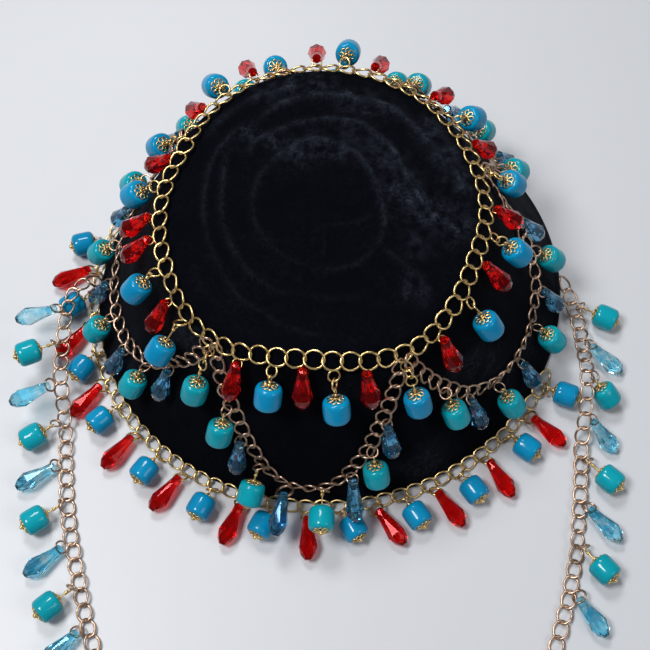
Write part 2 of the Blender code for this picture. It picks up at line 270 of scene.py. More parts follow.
class Signal:
    """A shader value that plain expressions can add, multiply and compare."""

    def __init__(self, tree: bpy.types.NodeTree, socket: bpy.types.NodeSocket) -> None:
        """Wrap an output socket of a node tree."""
        self.tree = tree
        self.socket = socket

    def _math(self, operation: str, left: "Signal | float", right: "Signal | float") -> "Signal":
        """Add a Math node on two values."""
        node = self.tree.nodes.new("ShaderNodeMath")
        node.operation = operation
        for slot, value in zip(node.inputs, (left, right)):
            if isinstance(value, Signal):
                self.tree.links.new(value.socket, slot)
            else:
                slot.default_value = value
        return Signal(self.tree, node.outputs[0])

    def __add__(self, other: "Signal | float") -> "Signal":
        """This value plus another."""
        return self._math("ADD", self, other)

    def __sub__(self, other: "Signal | float") -> "Signal":
        """This value minus another."""
        return self._math("SUBTRACT", self, other)

    def __rsub__(self, other: float) -> "Signal":
        """A number minus this value."""
        return self._math("SUBTRACT", other, self)

    def __mul__(self, other: "Signal | float") -> "Signal":
        """This value times another."""
        return self._math("MULTIPLY", self, other)

    __radd__ = __add__
    __rmul__ = __mul__

    def at_most(self, other: "Signal | float") -> "Signal":
        """The smaller of this value and another."""
        return self._math("MINIMUM", self, other)

    def at_least(self, other: "Signal | float") -> "Signal":
        """The larger of this value and another."""
        return self._math("MAXIMUM", self, other)

    def clamped(self) -> "Signal":
        """This value kept between 0 and 1."""
        return self.at_least(0.0).at_most(1.0)


class Shading:
    """One material's node tree."""

    def __init__(self, name: str) -> None:
        """Start a material with its Principled shader."""
        self.material = bpy.data.materials.new(name)
        self.material.use_nodes = True
        self.tree = self.material.node_tree
        self.shader = self.tree.nodes["Principled BSDF"]

    def add(self, kind: str, output: str, settings: dict | None = None, **values) -> Signal:
        """Add any node but the maths.

        Args:
            kind: The node's type.
            output: The name of the output that is wanted.
            settings: The node's own settings, made first.
            **values: Values or signals for the sockets, with underscores for spaces.

        Returns:
            The wanted output.
        """
        node = self.tree.nodes.new(kind)
        for key, value in (settings or {}).items():
            setattr(node, key, value)
        for key, value in values.items():
            self._feed(self._socket(node, key.replace("_", " ")), value)
        return Signal(self.tree, self._named_output(node, output))

    def set(self, **values) -> None:
        """Set the Principled shader's sockets to values or signals."""
        for key, value in values.items():
            self._feed(self._socket(self.shader, key.replace("_", " ")), value)

    def place(self) -> Signal:
        """The place on the piece, in metres."""
        return self.add("ShaderNodeTexCoord", "Object")

    def grain(self, where: Signal, scale: float, detail: float = 2.0, distortion: float = 0.0) -> Signal:
        """Noise from 0 to 1 with features about 1 / scale metres wide."""
        return self.add("ShaderNodeTexNoise", "Factor", None, Vector=where, Scale=scale,
                        Detail=detail, Distortion=distortion)

    def attribute(self, name: str) -> Signal:
        """A value stored on the mesh."""
        return self.add("ShaderNodeAttribute", "Factor", {"attribute_name": name})

    def blend(self, share: Signal | float, low: Signal | Colour, high: Signal | Colour) -> Signal:
        """A colour between two colours."""
        return self.add("ShaderNodeMix", "Result", {"data_type": "RGBA"}, Factor=share, A=low, B=high)

    def bump(self, height: Signal, distance: float, strength: float = 1.0) -> Signal:
        """A normal roughened by a height map whose range is a distance in metres."""
        return self.add("ShaderNodeBump", "Normal", None, Height=height, Distance=distance,
                        Strength=strength)

    def _feed(self, socket: bpy.types.NodeSocket, value: Signal | float | Colour) -> None:
        """Link a signal to a socket, or set the socket's value."""
        if isinstance(value, Signal):
            self.tree.links.new(value.socket, socket)
        elif isinstance(value, tuple) and socket.type == "RGBA":
            socket.default_value = (*value, 1.0)
        else:
            socket.default_value = value

    @staticmethod
    def _socket(node: bpy.types.Node, name: str) -> bpy.types.NodeSocket:
        """A node's input by its name."""
        return next(s for s in node.inputs if s.name == name and s.enabled)

    @staticmethod
    def _named_output(node: bpy.types.Node, name: str) -> bpy.types.NodeSocket:
        """A node's output by its name, or a noise's only number output."""
        wanted = {name, "Fac"} if name == "Factor" else {name}
        return next(s for s in node.outputs if s.name in wanted and s.enabled)


@dataclass(frozen=True)
class Velvet:
    """Black crushed velvet: dark where the pile stands, paler where it is flattened and where sheen is
    painted on the fold crests and in the flattened patches.

    The hat's inside is lined with plain woven cotton.
    """

    name: str
    standing: Colour = (0.0011, 0.0014, 0.0030)
    # The paler colour of flattened pile, also the colour of the painted sheen.
    pressed_and_sheen: Colour = (0.034, 0.042, 0.060)
    sheen: Colour = (0.60, 0.70, 0.90)
    lining: Colour = (0.010, 0.010, 0.012)
    thread: Colour = (0.018, 0.018, 0.022)
    pile: float = 0.35 * MM
    fibre_scale: float = 1600.0
    tuft_scale: float = 560.0
    cloud_scale: float = 80.0
    thread_scale: float = 900.0

    def make(self) -> bpy.types.Material:
        """Make the material. It reads the mesh values "crush", "crest" and "inside"."""
        shading = Shading(self.name)
        here = shading.place()
        # Flattened pile with painted sheen, and painted sheen on the fold crests.
        crush = shading.attribute("crush")
        painted_crest_sheen = shading.attribute("painted_crest_sheen")
        fibres = shading.grain(here, self.fibre_scale)
        tufts = shading.grain(here, self.tuft_scale, 4.0, 1.1)
        clouds = shading.grain(here, self.cloud_scale, 4.0, 0.9)
        patchy = ((tufts - 0.42) * 3.2).clamped() * ((clouds - 0.34) * 3.0).clamped()
        # Paler where the pile is flattened and where sheen is painted.
        pressed_and_sheen = (crush * (patchy * 0.75 + 0.16) + painted_crest_sheen * ((tufts - 0.25) * 1.5).clamped()
                   + patchy * 0.05).clamped()
        pile = shading.blend(pressed_and_sheen, self.standing, self.pressed_and_sheen)
        inside = shading.attribute("inside")
        threads = shading.add("ShaderNodeTexWave", "Factor", {"wave_type": "BANDS"},
                              Vector=here, Scale=self.thread_scale, Distortion=1.5)
        colour = shading.blend(inside, pile, shading.blend(threads, self.lining, self.thread))
        height = (fibres * 0.5 + tufts * (0.5 + crush * 1.6)) * (1.0 - inside) + threads * inside * 0.3
        shading.set(Base_Color=colour, Roughness=0.95, Normal=shading.bump(height, self.pile, 0.8),
                    Specular_IOR_Level=0.04, Sheen_Weight=0.04, Sheen_Roughness=0.35,
                    Sheen_Tint=self.sheen)
        return shading.material


@dataclass(frozen=True)
class Plating:
    """Thin metal plating on wire: bright, with duller worn places."""

    name: str
    bright: Colour
    dull: Colour
    roughness: float = 0.24
    wear_scale: float = 520.0
    wear_depth: float = 0.06 * MM

    def make(self) -> bpy.types.Material:
        """Make the material. It reads the mesh value "tone"."""
        shading = Shading(self.name)
        wear = shading.grain(shading.place(), self.wear_scale, 3.0)
        tone = shading.attribute("tone")
        share = ((wear - 0.4) * 2.0 + (tone - 0.5) * 0.5).clamped()
        colour = shading.blend(share, self.bright, self.dull)
        shading.set(Base_Color=colour, Metallic=1.0, Roughness=self.roughness + wear * 0.16,
                    Normal=shading.bump(wear, self.wear_depth, 0.5))
        return shading.material


@dataclass(frozen=True)
class BeadGlass:
    """Opaque coloured glass with a wet gloss, a little deeper in some beads than in others."""

    name: str
    colour: Colour
    deep: Colour
    cloud_scale: float = 260.0
    ripple: float = 0.08 * MM

    def make(self) -> bpy.types.Material:
        """Make the material. It reads the mesh value "tone"."""
        shading = Shading(self.name)
        clouds = shading.grain(shading.place(), self.cloud_scale, distortion=0.4)
        tone = shading.attribute("tone")
        colour = shading.blend(((clouds - 0.35) * 0.9 + (tone - 0.5) * 0.7).clamped(),
                               self.colour, self.deep)
        shading.set(Base_Color=colour, Roughness=0.30 + clouds * 0.06, Specular_IOR_Level=0.06,
                    Coat_Weight=0.5, Coat_Roughness=0.03,
                    Normal=shading.bump(clouds, self.ripple, 0.35))
        return shading.material


@dataclass(frozen=True)
class DropGlass:
    """Clear tinted glass, paler in some drops than in others.

    The last values are the colour of its glare, how clear it is, how far it bends light, and how
    fine its streaks are.
    """

    name: str
    colour: Colour
    pale: Colour
    glare: Colour
    clear: float
    bend: float = 1.45
    streak_scale: float = 240.0

    def make(self) -> bpy.types.Material:
        """Make the material. It reads the mesh value "tone"."""
        shading = Shading(self.name)
        tone = shading.attribute("tone")
        streaks = shading.grain(shading.place(), self.streak_scale, 1.0, 0.8)
        colour = shading.blend(((streaks - 0.44) * 5.0 + (tone - 0.5) * 0.4).clamped(),
                               self.colour, self.pale)
        shading.set(Base_Color=colour, Roughness=0.03, IOR=self.bend, Transmission_Weight=self.clear,
                    Specular_Tint=self.glare, Coat_Weight=0.12, Coat_Roughness=0.02)
        return shading.material


@dataclass(frozen=True)
class PaleFloor:
    """A plain pale floor with a soft gloss."""

    name: str = "pale_floor"
    colour: Colour = (0.60, 0.615, 0.645)
    darker: Colour = (0.576, 0.5904, 0.6192)

    def make(self) -> bpy.types.Material:
        """Make the material."""
        shading = Shading(self.name)
        drift = shading.grain(shading.place(), 3.0)
        shading.set(Base_Color=shading.blend(drift, self.colour, self.darker), Roughness=0.42)
        return shading.material


class Kind(Enum):
    """What hangs from a chain."""

    BARREL = "barrel"
    DROP = "drop"


class Finish(Enum):
    """Every finish on the hat, with the record's slot that it belongs to."""

    CROWN_VELVET = (Velvet("crown_velvet"), "crown_velvet")
    BAND_VELVET = (Velvet("band_velvet"), "band_velvet")
    GOLD = (Plating("gold_plating", (0.86, 0.63, 0.28), (0.46, 0.31, 0.12)), "gold_chain")
    ROSE_GOLD = (Plating("rose_gold_plating", (0.58, 0.40, 0.29), (0.30, 0.19, 0.13)),
                 "rose_gold_chain")
    BLUE = (BeadGlass("blue_bead", (0.001, 0.245, 0.465), (0.001, 0.180, 0.360)), "blue_bead")
    TEAL = (BeadGlass("teal_bead", (0.002, 0.32, 0.40), (0.001, 0.23, 0.29)), "teal_bead")
    RED = (DropGlass("red_drop", (0.78, 0.003, 0.004), (0.92, 0.020, 0.014), (1.0, 0.09, 0.09),
                     clear=0.93), "red_drop")
    LIGHT_BLUE = (DropGlass("light_blue_drop", (0.15, 0.68, 0.94), (0.80, 0.98, 1.0),
                            (0.45, 0.87, 1.0), clear=0.96, bend=1.52), "blue_drop")
    STEEL_BLUE = (DropGlass("steel_blue_drop", (0.06, 0.30, 0.54), (0.24, 0.56, 0.82),
                            (0.30, 0.66, 1.0), clear=0.93, bend=1.58), "blue_drop")

    @property
    def slot(self) -> str:
        """The record's material slot."""
        return self.value[1]

    @property
    def kind(self) -> Kind:
        """What is made of this glass."""
        return Kind.DROP if isinstance(self.value[0], DropGlass) else Kind.BARREL

    @lru_cache(maxsize=None)
    def material(self) -> bpy.types.Material:
        """The Blender material, made once."""
        return self.value[0].make()


# Modelling with Blender's operators.


class Bench:
    """Blender's modelling operators, with the selection and the mode kept in one place."""

    @staticmethod
    def clear() -> None:
        """Leave edit mode and deselect everything."""
        if bpy.context.object is not None and bpy.context.object.mode != "OBJECT":
            bpy.ops.object.mode_set(mode="OBJECT")
        bpy.ops.object.select_all(action="DESELECT")

    @staticmethod
    def settle(smooth: float | None) -> None:
        """Leave edit mode, face the skin outwards and shade it.

        Args:
            smooth: The angle in degrees above which an edge stays sharp, or None for flat faces.
        """
        bpy.ops.mesh.select_all(action="SELECT")
        bpy.ops.mesh.normals_make_consistent(inside=False)
        bpy.ops.object.mode_set(mode="OBJECT")
        if smooth is None:
            bpy.ops.object.shade_flat()
        else:
            bpy.ops.object.shade_smooth_by_angle(angle=radians(smooth))

    @staticmethod
    def loft(name: str, rows: Sequence[np.ndarray], bent_round: bool = False,
             smooth: float | None = 40, facets: bool = False) -> bpy.types.Object:
        """Extrude a ring from row to row into one closed skin.

        Args:
            name: The piece's name.
            rows: Rings with the same number of points. A ring may shrink to one point.
            bent_round: Whether the last row meets the first, as in a tube bent round.
            smooth: The angle in degrees above which an edge stays sharp, or None for flat faces.
            facets: Whether the skin is cut into triangles.

        Returns:
            The piece.
        """
        Bench.clear()
        bpy.ops.mesh.primitive_circle_add(vertices=len(rows[0]), radius=1.0)
        piece = bpy.context.object
        piece.name = name
        bpy.ops.object.mode_set(mode="EDIT")
        bpy.ops.mesh.select_all(action="SELECT")
        mesh = bmesh.from_edit_mesh(piece.data)
        step = mesh.verts.layers.int.new("step")
        for index, vertex in enumerate(mesh.verts):
            vertex[step] = index
            vertex.co = rows[0][index]
        for row in rows[1:]:
            bpy.ops.mesh.extrude_edges_indiv()
            mesh = bmesh.from_edit_mesh(piece.data)
            step = mesh.verts.layers.int["step"]
            for vertex in (vertex for vertex in mesh.verts if vertex.select):
                vertex.co = row[vertex[step]]
        bpy.ops.mesh.select_all(action="SELECT")
        bpy.ops.mesh.remove_doubles(threshold=0.000001)
        if not bent_round:
            bpy.ops.mesh.select_all(action="DESELECT")
            bpy.ops.mesh.select_non_manifold(use_wire=False, use_multi_face=False,
                                             use_non_contiguous=False, use_verts=False)
            bpy.ops.mesh.fill_holes(sides=0)
        if facets:
            bpy.ops.mesh.select_all(action="SELECT")
            bpy.ops.mesh.quads_convert_to_tris(quad_method="SHORTEST_DIAGONAL")
        Bench.settle(smooth)
        piece.data.attributes.remove(piece.data.attributes["step"])
        return piece

    @staticmethod
    def ring(name: str, size: Place, sides: tuple[int, int] = (14, 6)) -> bpy.types.Object:
        """A round wire ring, lying flat.

        Args:
            name: The piece's name.
            size: The radius to the middle of the wire, and the wire's radius.
            sides: How many faces there are round the ring and round the wire.

        Returns:
            The ring.
        """
        Bench.clear()
        bpy.ops.mesh.primitive_torus_add(major_segments=sides[0], minor_segments=sides[1],
                                         major_radius=size[0], minor_radius=size[1])
        bpy.context.object.name = name
        bpy.ops.object.shade_smooth()
        return bpy.context.object

    @staticmethod
    def master(pieces: Sequence[bpy.types.Object], name: str, smooth: float = 180) -> bpy.types.Object:
        """Join pieces into a master, with its place in its mesh.

        Args:
            pieces: What the master is made of.
            name: The master's name.
            smooth: The angle in degrees above which an edge stays sharp.

        Returns:
            The master.
        """
        made = Bench.join(pieces, name)
        bpy.ops.object.transform_apply(location=True, rotation=True, scale=True)
        bpy.ops.object.shade_smooth_by_angle(angle=radians(smooth))
        return made

    @staticmethod
    def join(pieces: Sequence[bpy.types.Object], name: str) -> bpy.types.Object:
        """Join pieces into one."""
        Bench.clear()
        for piece in pieces:
            piece.select_set(True)
        bpy.context.view_layer.objects.active = pieces[0]
        if len(pieces) > 1:
            bpy.ops.object.join()
        pieces[0].name = name
        pieces[0].data.name = name
        return pieces[0]

    @staticmethod
    def copies(master: bpy.types.Object, places: Iterable[Matrix],
               chance: random.Random) -> list[bpy.types.Object]:
        """Copy a master to each place, each copy with its own mesh and its own tone.

        Args:
            master: What is copied. It stays as it is.
            places: Where each copy goes.
            chance: Where the tones come from.

        Returns:
            The copies.
        """
        made = []
        for place in places:
            copy = master.copy()
            copy.data = master.data.copy()
            copy.data.transform(place)
            bpy.context.scene.collection.objects.link(copy)
            Bench.mark(copy, "tone", chance.random())
            made.append(copy)
        return made

    @staticmethod
    def lift_off_floor(pieces: Iterable[bpy.types.Object]) -> None:
        """Lift each piece that dips below the floor until it lies on it."""
        for piece in pieces:
            low = min(vertex.co.z for vertex in piece.data.vertices)
            if low < 0.0:
                piece.data.transform(Matrix.Translation((0.0, 0.0, -low)))

    @staticmethod
    def points(piece: bpy.types.Object) -> np.ndarray:
        """The points of a piece's mesh in millimetres, one row for each."""
        return np.array([vertex.co for vertex in piece.data.vertices]) / MM

    @staticmethod
    def mark(piece: bpy.types.Object, name: str, values: float | np.ndarray) -> None:
        """Store a value on each point of a piece's mesh."""
        layer = piece.data.attributes.get(name) or piece.data.attributes.new(name, "FLOAT", "POINT")
        count = len(piece.data.vertices)
        layer.data.foreach_set("value", np.broadcast_to(values, count).astype(np.float32).copy())


def axes_matrix(origin: np.ndarray, x: np.ndarray, y: np.ndarray, z: np.ndarray) -> Matrix:
    """The matrix that takes a master's axes to three directions at an origin."""
    return Matrix([(*row, value) for row, value in zip(np.column_stack((x, y, z)), origin)]
                  + [(0.0, 0.0, 0.0, 1.0)])


def mark_inside(piece: bpy.types.Object) -> None:
    """Mark the points that face the head."""
    middle = Vector((0.0, 0.0, 30 * MM))
    Bench.mark(piece, "inside", np.array([float(vertex.normal.dot(vertex.co - middle) < 0.0)
                                          for vertex in piece.data.vertices]))


def dress(piece: bpy.types.Object, finish: Finish, stands_for: str | None = None) -> None:
    """Give a piece its finish, fix it to the hat and hide the solid it stands for."""
    piece.data.materials.clear()
    piece.data.materials.append(finish.material())
    finish.slot
    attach(piece, BODY)
    if stands_for is not None:
        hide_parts(stands_for)
    log.info("%s: %d faces", piece.name, len(piece.data.polygons))


# The velvet.


@dataclass(frozen=True)
class Fold:
    """A raised fold in the crown, along a line of places in millimetres."""

    line: tuple[Place, ...]
    height: float
    width: float
    closed: bool = False
    taper: float = 7.0

    def distances(self, places: np.ndarray) -> tuple[np.ndarray, np.ndarray]:
        """How far places lie from the fold.

        Args:
            places: One row for each place, in millimetres.

        Returns:
            The distance of each place, and how far along the fold its nearest point lies, from 0 to 1.
        """
        curve = smooth_line(self.line, 10, self.closed)
        gaps = np.linalg.norm(places[:, None, :] - curve[None, :, :], axis=2)
        nearest = gaps.argmin(axis=1)
        return gaps[np.arange(len(places)), nearest], nearest / (len(curve) - 1)

    def rise(self, places: np.ndarray, stray: np.ndarray) -> np.ndarray:
        """The fold's height at each place, in millimetres, with a stray added to each distance."""
        gaps, along = self.distances(places)
        ends = 1.0 if self.closed else np.clip(np.minimum(along, 1.0 - along) * self.taper, 0.0, 1.0)
        return self.height * ends * np.exp(-(np.abs(gaps + stray) / self.width) ** 1.5)


def wander(places: np.ndarray, scale: float, seed: float) -> np.ndarray:
    """Smooth noise between about -1 and 1 at each place.

    Args:
        places: One row of three coordinates for each place, in millimetres.
        scale: How many features there are in a millimetre.
        seed: A shift that makes one noise unlike another.

    Returns:
        One value for each place.
    """
    return np.array([noise.noise(Vector(place) * scale + Vector((seed, 2 * seed, 0.0)))
                     for place in places])


@dataclass(frozen=True)
class Crown:
    """The crown's disc of crushed velvet, with its spiral of raised folds.

    Each patch of flattened pile with painted sheen is a place and a radius in millimetres. The folds
    and the crushed relief fade out towards the edge, and sheen is painted on the crests, palest where
    they face the lit side.
    """

    segments: int = 288
    rings: int = 84
    tallest: float = 1.7
    flat_reach: float = 54.0
    flat_fade: float = 5.0
    lit_side: Place = (0.45, 0.89)
    folds: tuple[Fold, ...] = (
        Fold(((-4.5, 28.5), (-15.0, 25.2), (-23.2, 16.7), (-27.2, 7.7), (-27.4, -0.4), (-26.2, -6.7),
              (-21.3, -13.7), (-15.7, -19.1), (-10.2, -21.8), (-3.3, -23.7), (4.0, -23.4),
              (11.0, -20.0), (16.4, -13.0), (18.6, -4.0), (17.1, 5.5), (13.7, 15.9), (7.6, 23.8)),
             1.5, 1.5, True),
        Fold(((-36.5, 25.8), (-30.7, 23.3), (-26.5, 28.4), (-20.8, 31.8), (-12.1, 35.6), (-4.1, 36.9),
              (3.2, 36.9), (11.1, 35.2), (17.6, 29.2), (23.2, 22.5), (27.2, 12.6), (30.5, 6.1),
              (34.5, -0.4), (41.0, -6.0)), 1.7, 1.5),
        Fold(((-28.3, 27.0), (-36.5, 24.0), (-38.1, 19.2), (-38.2, 12.6), (-38.6, 4.5), (-38.0, -2.7),
              (-36.3, -10.6), (-33.0, -16.8), (-29.4, -23.0), (-23.8, -28.3), (-18.3, -32.0),
              (-12.8, -33.1), (-7.4, -33.9), (-0.6, -34.6), (8.0, -34.4), (16.0, -31.0)), 1.7, 1.6),
        Fold(((-28.6, 33.0), (-24.5, 38.6), (-19.5, 42.9), (-12.2, 46.4), (-4.1, 47.7), (3.9, 46.9),
              (12.7, 45.1), (20.0, 42.9), (25.8, 38.6), (31.4, 32.6), (35.5, 26.7), (38.9, 20.8),
              (40.8, 14.2), (41.0, 8.0)), 1.8, 1.6),
        Fold(((-27.3, 28.1), (-31.0, 33.0), (-35.3, 31.3), (-39.7, 25.0), (-42.7, 19.2), (-44.5, 9.3),
              (-44.8, -0.4), (-43.3, -9.1), (-41.3, -16.1), (-36.8, -25.2), (-32.5, -32.8),
              (-26.3, -38.0), (-19.4, -42.4), (-12.7, -46.0), (-6.0, -47.8), (2.0, -48.4)), 1.6, 1.5),
        Fold(((-46.8, 27.0), (-40.6, 36.6), (-33.5, 43.6), (-25.5, 48.3), (-15.2, 51.0),
              (-5.6, 51.6)), 1.2, 1.7),
        Fold(((36.2, 36.3), (42.4, 28.1), (45.0, 15.9), (47.3, 5.1)), 1.2, 1.7),
        Fold(((-48.6, -22.0), (-44.1, -30.3), (-40.2, -35.0), (-35.0, -39.6)), 0.9, 1.3),
        Fold(((-2.6, -6.7), (3.6, -6.3), (10.6, -4.3), (15.0, -1.5)), 0.8, 1.0),
        Fold(((-2.3, -6.0), (-2.3, -13.0), (-3.3, -20.0)), 0.7, 1.0),
        Fold(((14.7, -12.0), (22.1, -19.1), (29.2, -26.0), (32.4, -31.3), (32.2, -35.5),
              (30.0, -39.2)), 1.2, 1.6),
        Fold(((-10.2, -22.2), (-10.5, -31.3), (-10.7, -38.0)), 0.6, 1.0),
        Fold(((-14.2, -33.5), (-17.4, -41.6)), 0.6, 1.0),
    )
    # Patches of flattened pile with painted sheen, most of them towards the lit side.
    pressed_and_sheen: tuple[Triple, ...] = (
        (-13, 24, 5), (-5, 27, 5), (3, 25, 4.5), (8, 31, 5), (15, 26, 6), (21, 19, 6), (25, 10, 6.5),
        (31, 2, 6.5), (38, -4, 7), (45, -6, 6), (30, -13, 5), (-24, 50, 5), (-14, 53, 5), (-4, 54, 5),
        (6, 46, 4.5), (14, 45, 5), (22, 42, 4.5), (37, 32, 6), (42, 22, 6), (47, 12, 5), (28, -30, 4),
        (-20, 28, 3.5), (-30, 31, 3.5))

    def build(self) -> None:
        """Model the disc, from the middle of its underside round the edge to its top."""
        sections = HAT.sections(self.segments)
        flat = -sections[0].reach
        seam = HAT.seam_drop - GAP
        rows = self._disc(sections, flat, -HAT.velvet, 10)
        rows += [self._around(sections, drop, -HAT.velvet) for drop in (flat / 2, 0.0, seam)]
        rows += [self._around(sections, drop, 0.0) for drop in np.linspace(seam, flat, 12)[:-1]]
        rows += self._disc(sections, flat, 0.0, self.rings)[::-1]
        piece = Bench.loft("crown_velvet", rows, smooth=80)
        places = Bench.points(piece)
        top = places[:, 2] > (HAT.height - 0.5 * HAT.velvet) / MM
        rise, painted_crest_sheen = self._relief(places)
        rise = np.where(top, rise, 0.0)
        for vertex, height in zip(piece.data.vertices, rise * MM):
            vertex.co.z += height
        # Flattened pile with painted sheen, and painted sheen on the fold crests.
        Bench.mark(piece, "crush", self._crush_and_sheen(places))
        Bench.mark(piece, "painted_crest_sheen", np.where(top, painted_crest_sheen, 0.0))
        mark_inside(piece)
        dress(piece, Finish.CROWN_VELVET, "crown_top")

    def _around(self, sections: Sequence[Section], drop: float, lift: float) -> np.ndarray:
        """One ring of points on the skin."""
        return np.array([section.point(drop, lift) for section in sections])

    def _disc(self, sections: Sequence[Section], flat: float, lift: float, count: int) -> list[np.ndarray]:
        """Rings from the middle out to where the edge starts to bend."""
        outer = self._around(sections, flat, lift)
        middle = np.array((*HAT.crown_centre, outer[0][2]))
        return [middle + (outer - middle) * share for share in np.linspace(0.0, 1.0, count + 1)]

    def _relief(self, places: np.ndarray) -> tuple[np.ndarray, np.ndarray]:
        """The height of the folds and the crush above the flat crown.

        Args:
            places: One row for each point, in millimetres.

        Returns:
            The height in millimetres, and the painted sheen near each fold's crest, from 0 to 1.
        """
        stray = 0.5 * wander(places, 0.22, 3.0)
        rise = np.zeros(len(places))
        for fold in self.folds:
            rise = np.maximum(rise, fold.rise(places[:, :2], stray))
        broken = np.clip(0.75 + 0.7 * wander(places, 0.16, 9.0), 0.25, 1.3)
        # Painted sheen on the fold crests, palest on the side that faces the light.
        lit = np.clip(0.5 + 0.55 * (unit_rows(places[:, :2]) @ np.array(self.lit_side)), 0.0, 1.0)
        painted_crest_sheen = np.clip(rise / self.tallest, 0.0, 1.0) ** 1.4 * broken * (0.22 + 0.5 * lit)
        edge = np.linalg.norm(places[:, :2] - np.array(HAT.crown_centre) / MM, axis=1)
        inside = np.clip((self.flat_reach - edge) / self.flat_fade, 0.0, 1.0)
        crumple = np.maximum(wander(places, 0.42, 5.0), 0.0) * self._crush_and_sheen(places)
        swell = 0.35 * wander(places, 0.07, 1.0)
        return inside * (rise * (0.7 + 0.3 * broken) + 1.1 * crumple + swell), painted_crest_sheen

    def _crush_and_sheen(self, places: np.ndarray) -> np.ndarray:
        """How far the pile is flattened at each place, with painted sheen in the patches, from 0 to 1."""
        share = np.zeros(len(places))
        for x, y, radius in self.pressed_and_sheen:
            gap = np.hypot(places[:, 0] - x, places[:, 1] - y) / radius
            share = np.maximum(share, np.exp(-(gap**2)))
        torn = wander(places, 0.30, 13.0) + 0.6 * wander(places, 0.9, 17.0)
        return share * np.clip(0.55 + 1.3 * torn, 0.0, 1.2)


@dataclass(frozen=True)
class Band:
    """The velvet band, with the soft wrinkles of cloth pulled over a stiff form.

    The hem's turn is a list of places: how far outward from the rim, and how high. The wrinkles
    lie between two heights. All are in millimetres.
    """

    segments: int = 288
    rows: int = 40
    lining_rows: int = 8
    hem_turn: tuple[Place, ...] = ((-0.05, 1.6), (-0.15, 0.5), (-0.5, 0.0), (-3.0, 0.0))
    wrinkled: Place = (5.0, 60.0)
    wrinkle_fade: float = 8.0

    def build(self) -> None:
        """Model the band from its seam down to the hem, up its inside and back."""
        sections = HAT.sections(self.segments)
        outer = [self._ring(sections, share, 0.0) for share in np.linspace(0.0, 1.0, self.rows)]
        inner = [self._ring(sections, share, -HAT.velvet)
                 for share in np.linspace(0.0, 1.0, self.lining_rows)]
        hem = [self._foot(beyond * MM, z * MM) for beyond, z in self.hem_turn]
        rows = outer + hem + inner[::-1] + [outer[0]]
        piece = Bench.loft("band_velvet", rows, bent_round=True, smooth=80)
        places = Bench.points(piece)
        self._wrinkle(piece, places)
        Bench.mark(piece, "crush", np.clip(wander(places, 0.035, 21.0) * 1.6 - 0.25, 0.0, 0.55))
        Bench.mark(piece, "painted_crest_sheen", np.zeros(len(places)))
        mark_inside(piece)
        dress(piece, Finish.BAND_VELVET, "side_wall")

    def _ring(self, sections: Sequence[Section], share: float, lift: float) -> np.ndarray:
        """One ring of points at a share of the way from the seam to the top of the hem."""
        points = []
        for section in sections:
            drop = HAT.seam_drop + share * (section.foot_drop - HAT.hem_height - HAT.seam_drop)
            points.append(section.point(drop, lift))
        return np.array(points)

    def _foot(self, beyond: float, z: float) -> np.ndarray:
        """One ring of points at the hem."""
        return np.array([HAT.rim_point(360 * step / self.segments, beyond, z)
                         for step in range(self.segments)])

    def _wrinkle(self, piece: bpy.types.Object, places: np.ndarray) -> None:
        """Press long soft wrinkles into the outside."""
        tall = wander(places * (1.0, 1.0, 0.35), 0.06, 31.0)
        small = wander(places * (1.0, 1.0, 0.6), 0.17, 37.0)
        low, high = self.wrinkled
        gap = np.minimum(places[:, 2] - low, high - places[:, 2])
        middle = np.clip(gap / self.wrinkle_fade, 0.0, 1.0)
        out = unit_rows(places[:, :2])
        push = middle * (0.5 * tall + 0.22 * small) * MM
        for vertex, direction, depth in zip(piece.data.vertices, out, push):
            vertex.co.x += direction[0] * depth
            vertex.co.y += direction[1] * depth


# Chains and charms.


@dataclass(frozen=True)
class LinkSize:
    """A chain link's wire and its half sizes to the middle of the wire."""

    half_length: float
    half_width: float
    wire: float

    @property
    def pitch(self) -> float:
        """The distance from a link to the next, with the chain drawn straight."""
        return 2 * (self.half_length - self.wire)

    @property
    def twist(self) -> float:
        """How far each corner is bent up or down, so that one link passes the next."""
        corner = self.pitch / 2 / self.half_length
        return 1.05 * self.wire / (2 * corner * (1.0 - corner**2) ** 0.5)


@dataclass(frozen=True)
class BarrelSize:
    """A barrel bead's sizes."""

    radius: float = 4.75 * MM
    length: float = 8.4 * MM
    ring_slack: float = 1.35 * MM


@dataclass(frozen=True)
class DropSize:
    """A cut drop's sizes."""

    radius: float = 3.6 * MM
    length: float = 16.2 * MM
    top: float = 3.8 * MM
    widest: float = 0.7
    hole: float = 1.5 * MM
    neck: float = 1.9 * MM
    blunt: float = 1.1 * MM
    ring_slack: float = 0.75 * MM


@dataclass(frozen=True)
class FittingSize:
    """The sizes of the wire fittings: jump rings, eyes and their wraps, pins and tips, and caps.

    A ring's size is the radius to the middle of its wire, and the wire's radius.
    """

    jump_ring: Place = (2.1 * MM, 0.36 * MM)
    far_reach: float = 2.8 * MM
    near_reach: float = 0.8 * MM
    extra_ring: float = 3.4 * MM
    ring_overlap: float = 0.7 * MM
    eye: Place = (0.95 * MM, 0.30 * MM)
    eye_to_bead: float = 2.3 * MM
    eye_to_pin: float = 0.9 * MM
    wrap: Place = (0.52 * MM, 0.26 * MM)
    wrap_places: Place = (1.25 * MM, 1.73 * MM)
    pin: float = 0.32 * MM
    pin_in_bead: float = 0.5 * MM
    tip: float = 0.85 * MM
    tip_past_bead: float = 1.15 * MM
    petals: int = 8
    petal: Place = (0.95 * MM, 0.21 * MM)
    petal_place: Place = (1.85 * MM, -0.42 * MM)
    collar: Place = (0.85 * MM, 0.30 * MM)
    collar_z: float = -0.85 * MM


BARREL = BarrelSize()
DROP = DropSize()
FITTING = FittingSize()

# How far above its chain's middle a charm hangs.
LOOP_RISE = 1.2 * MM


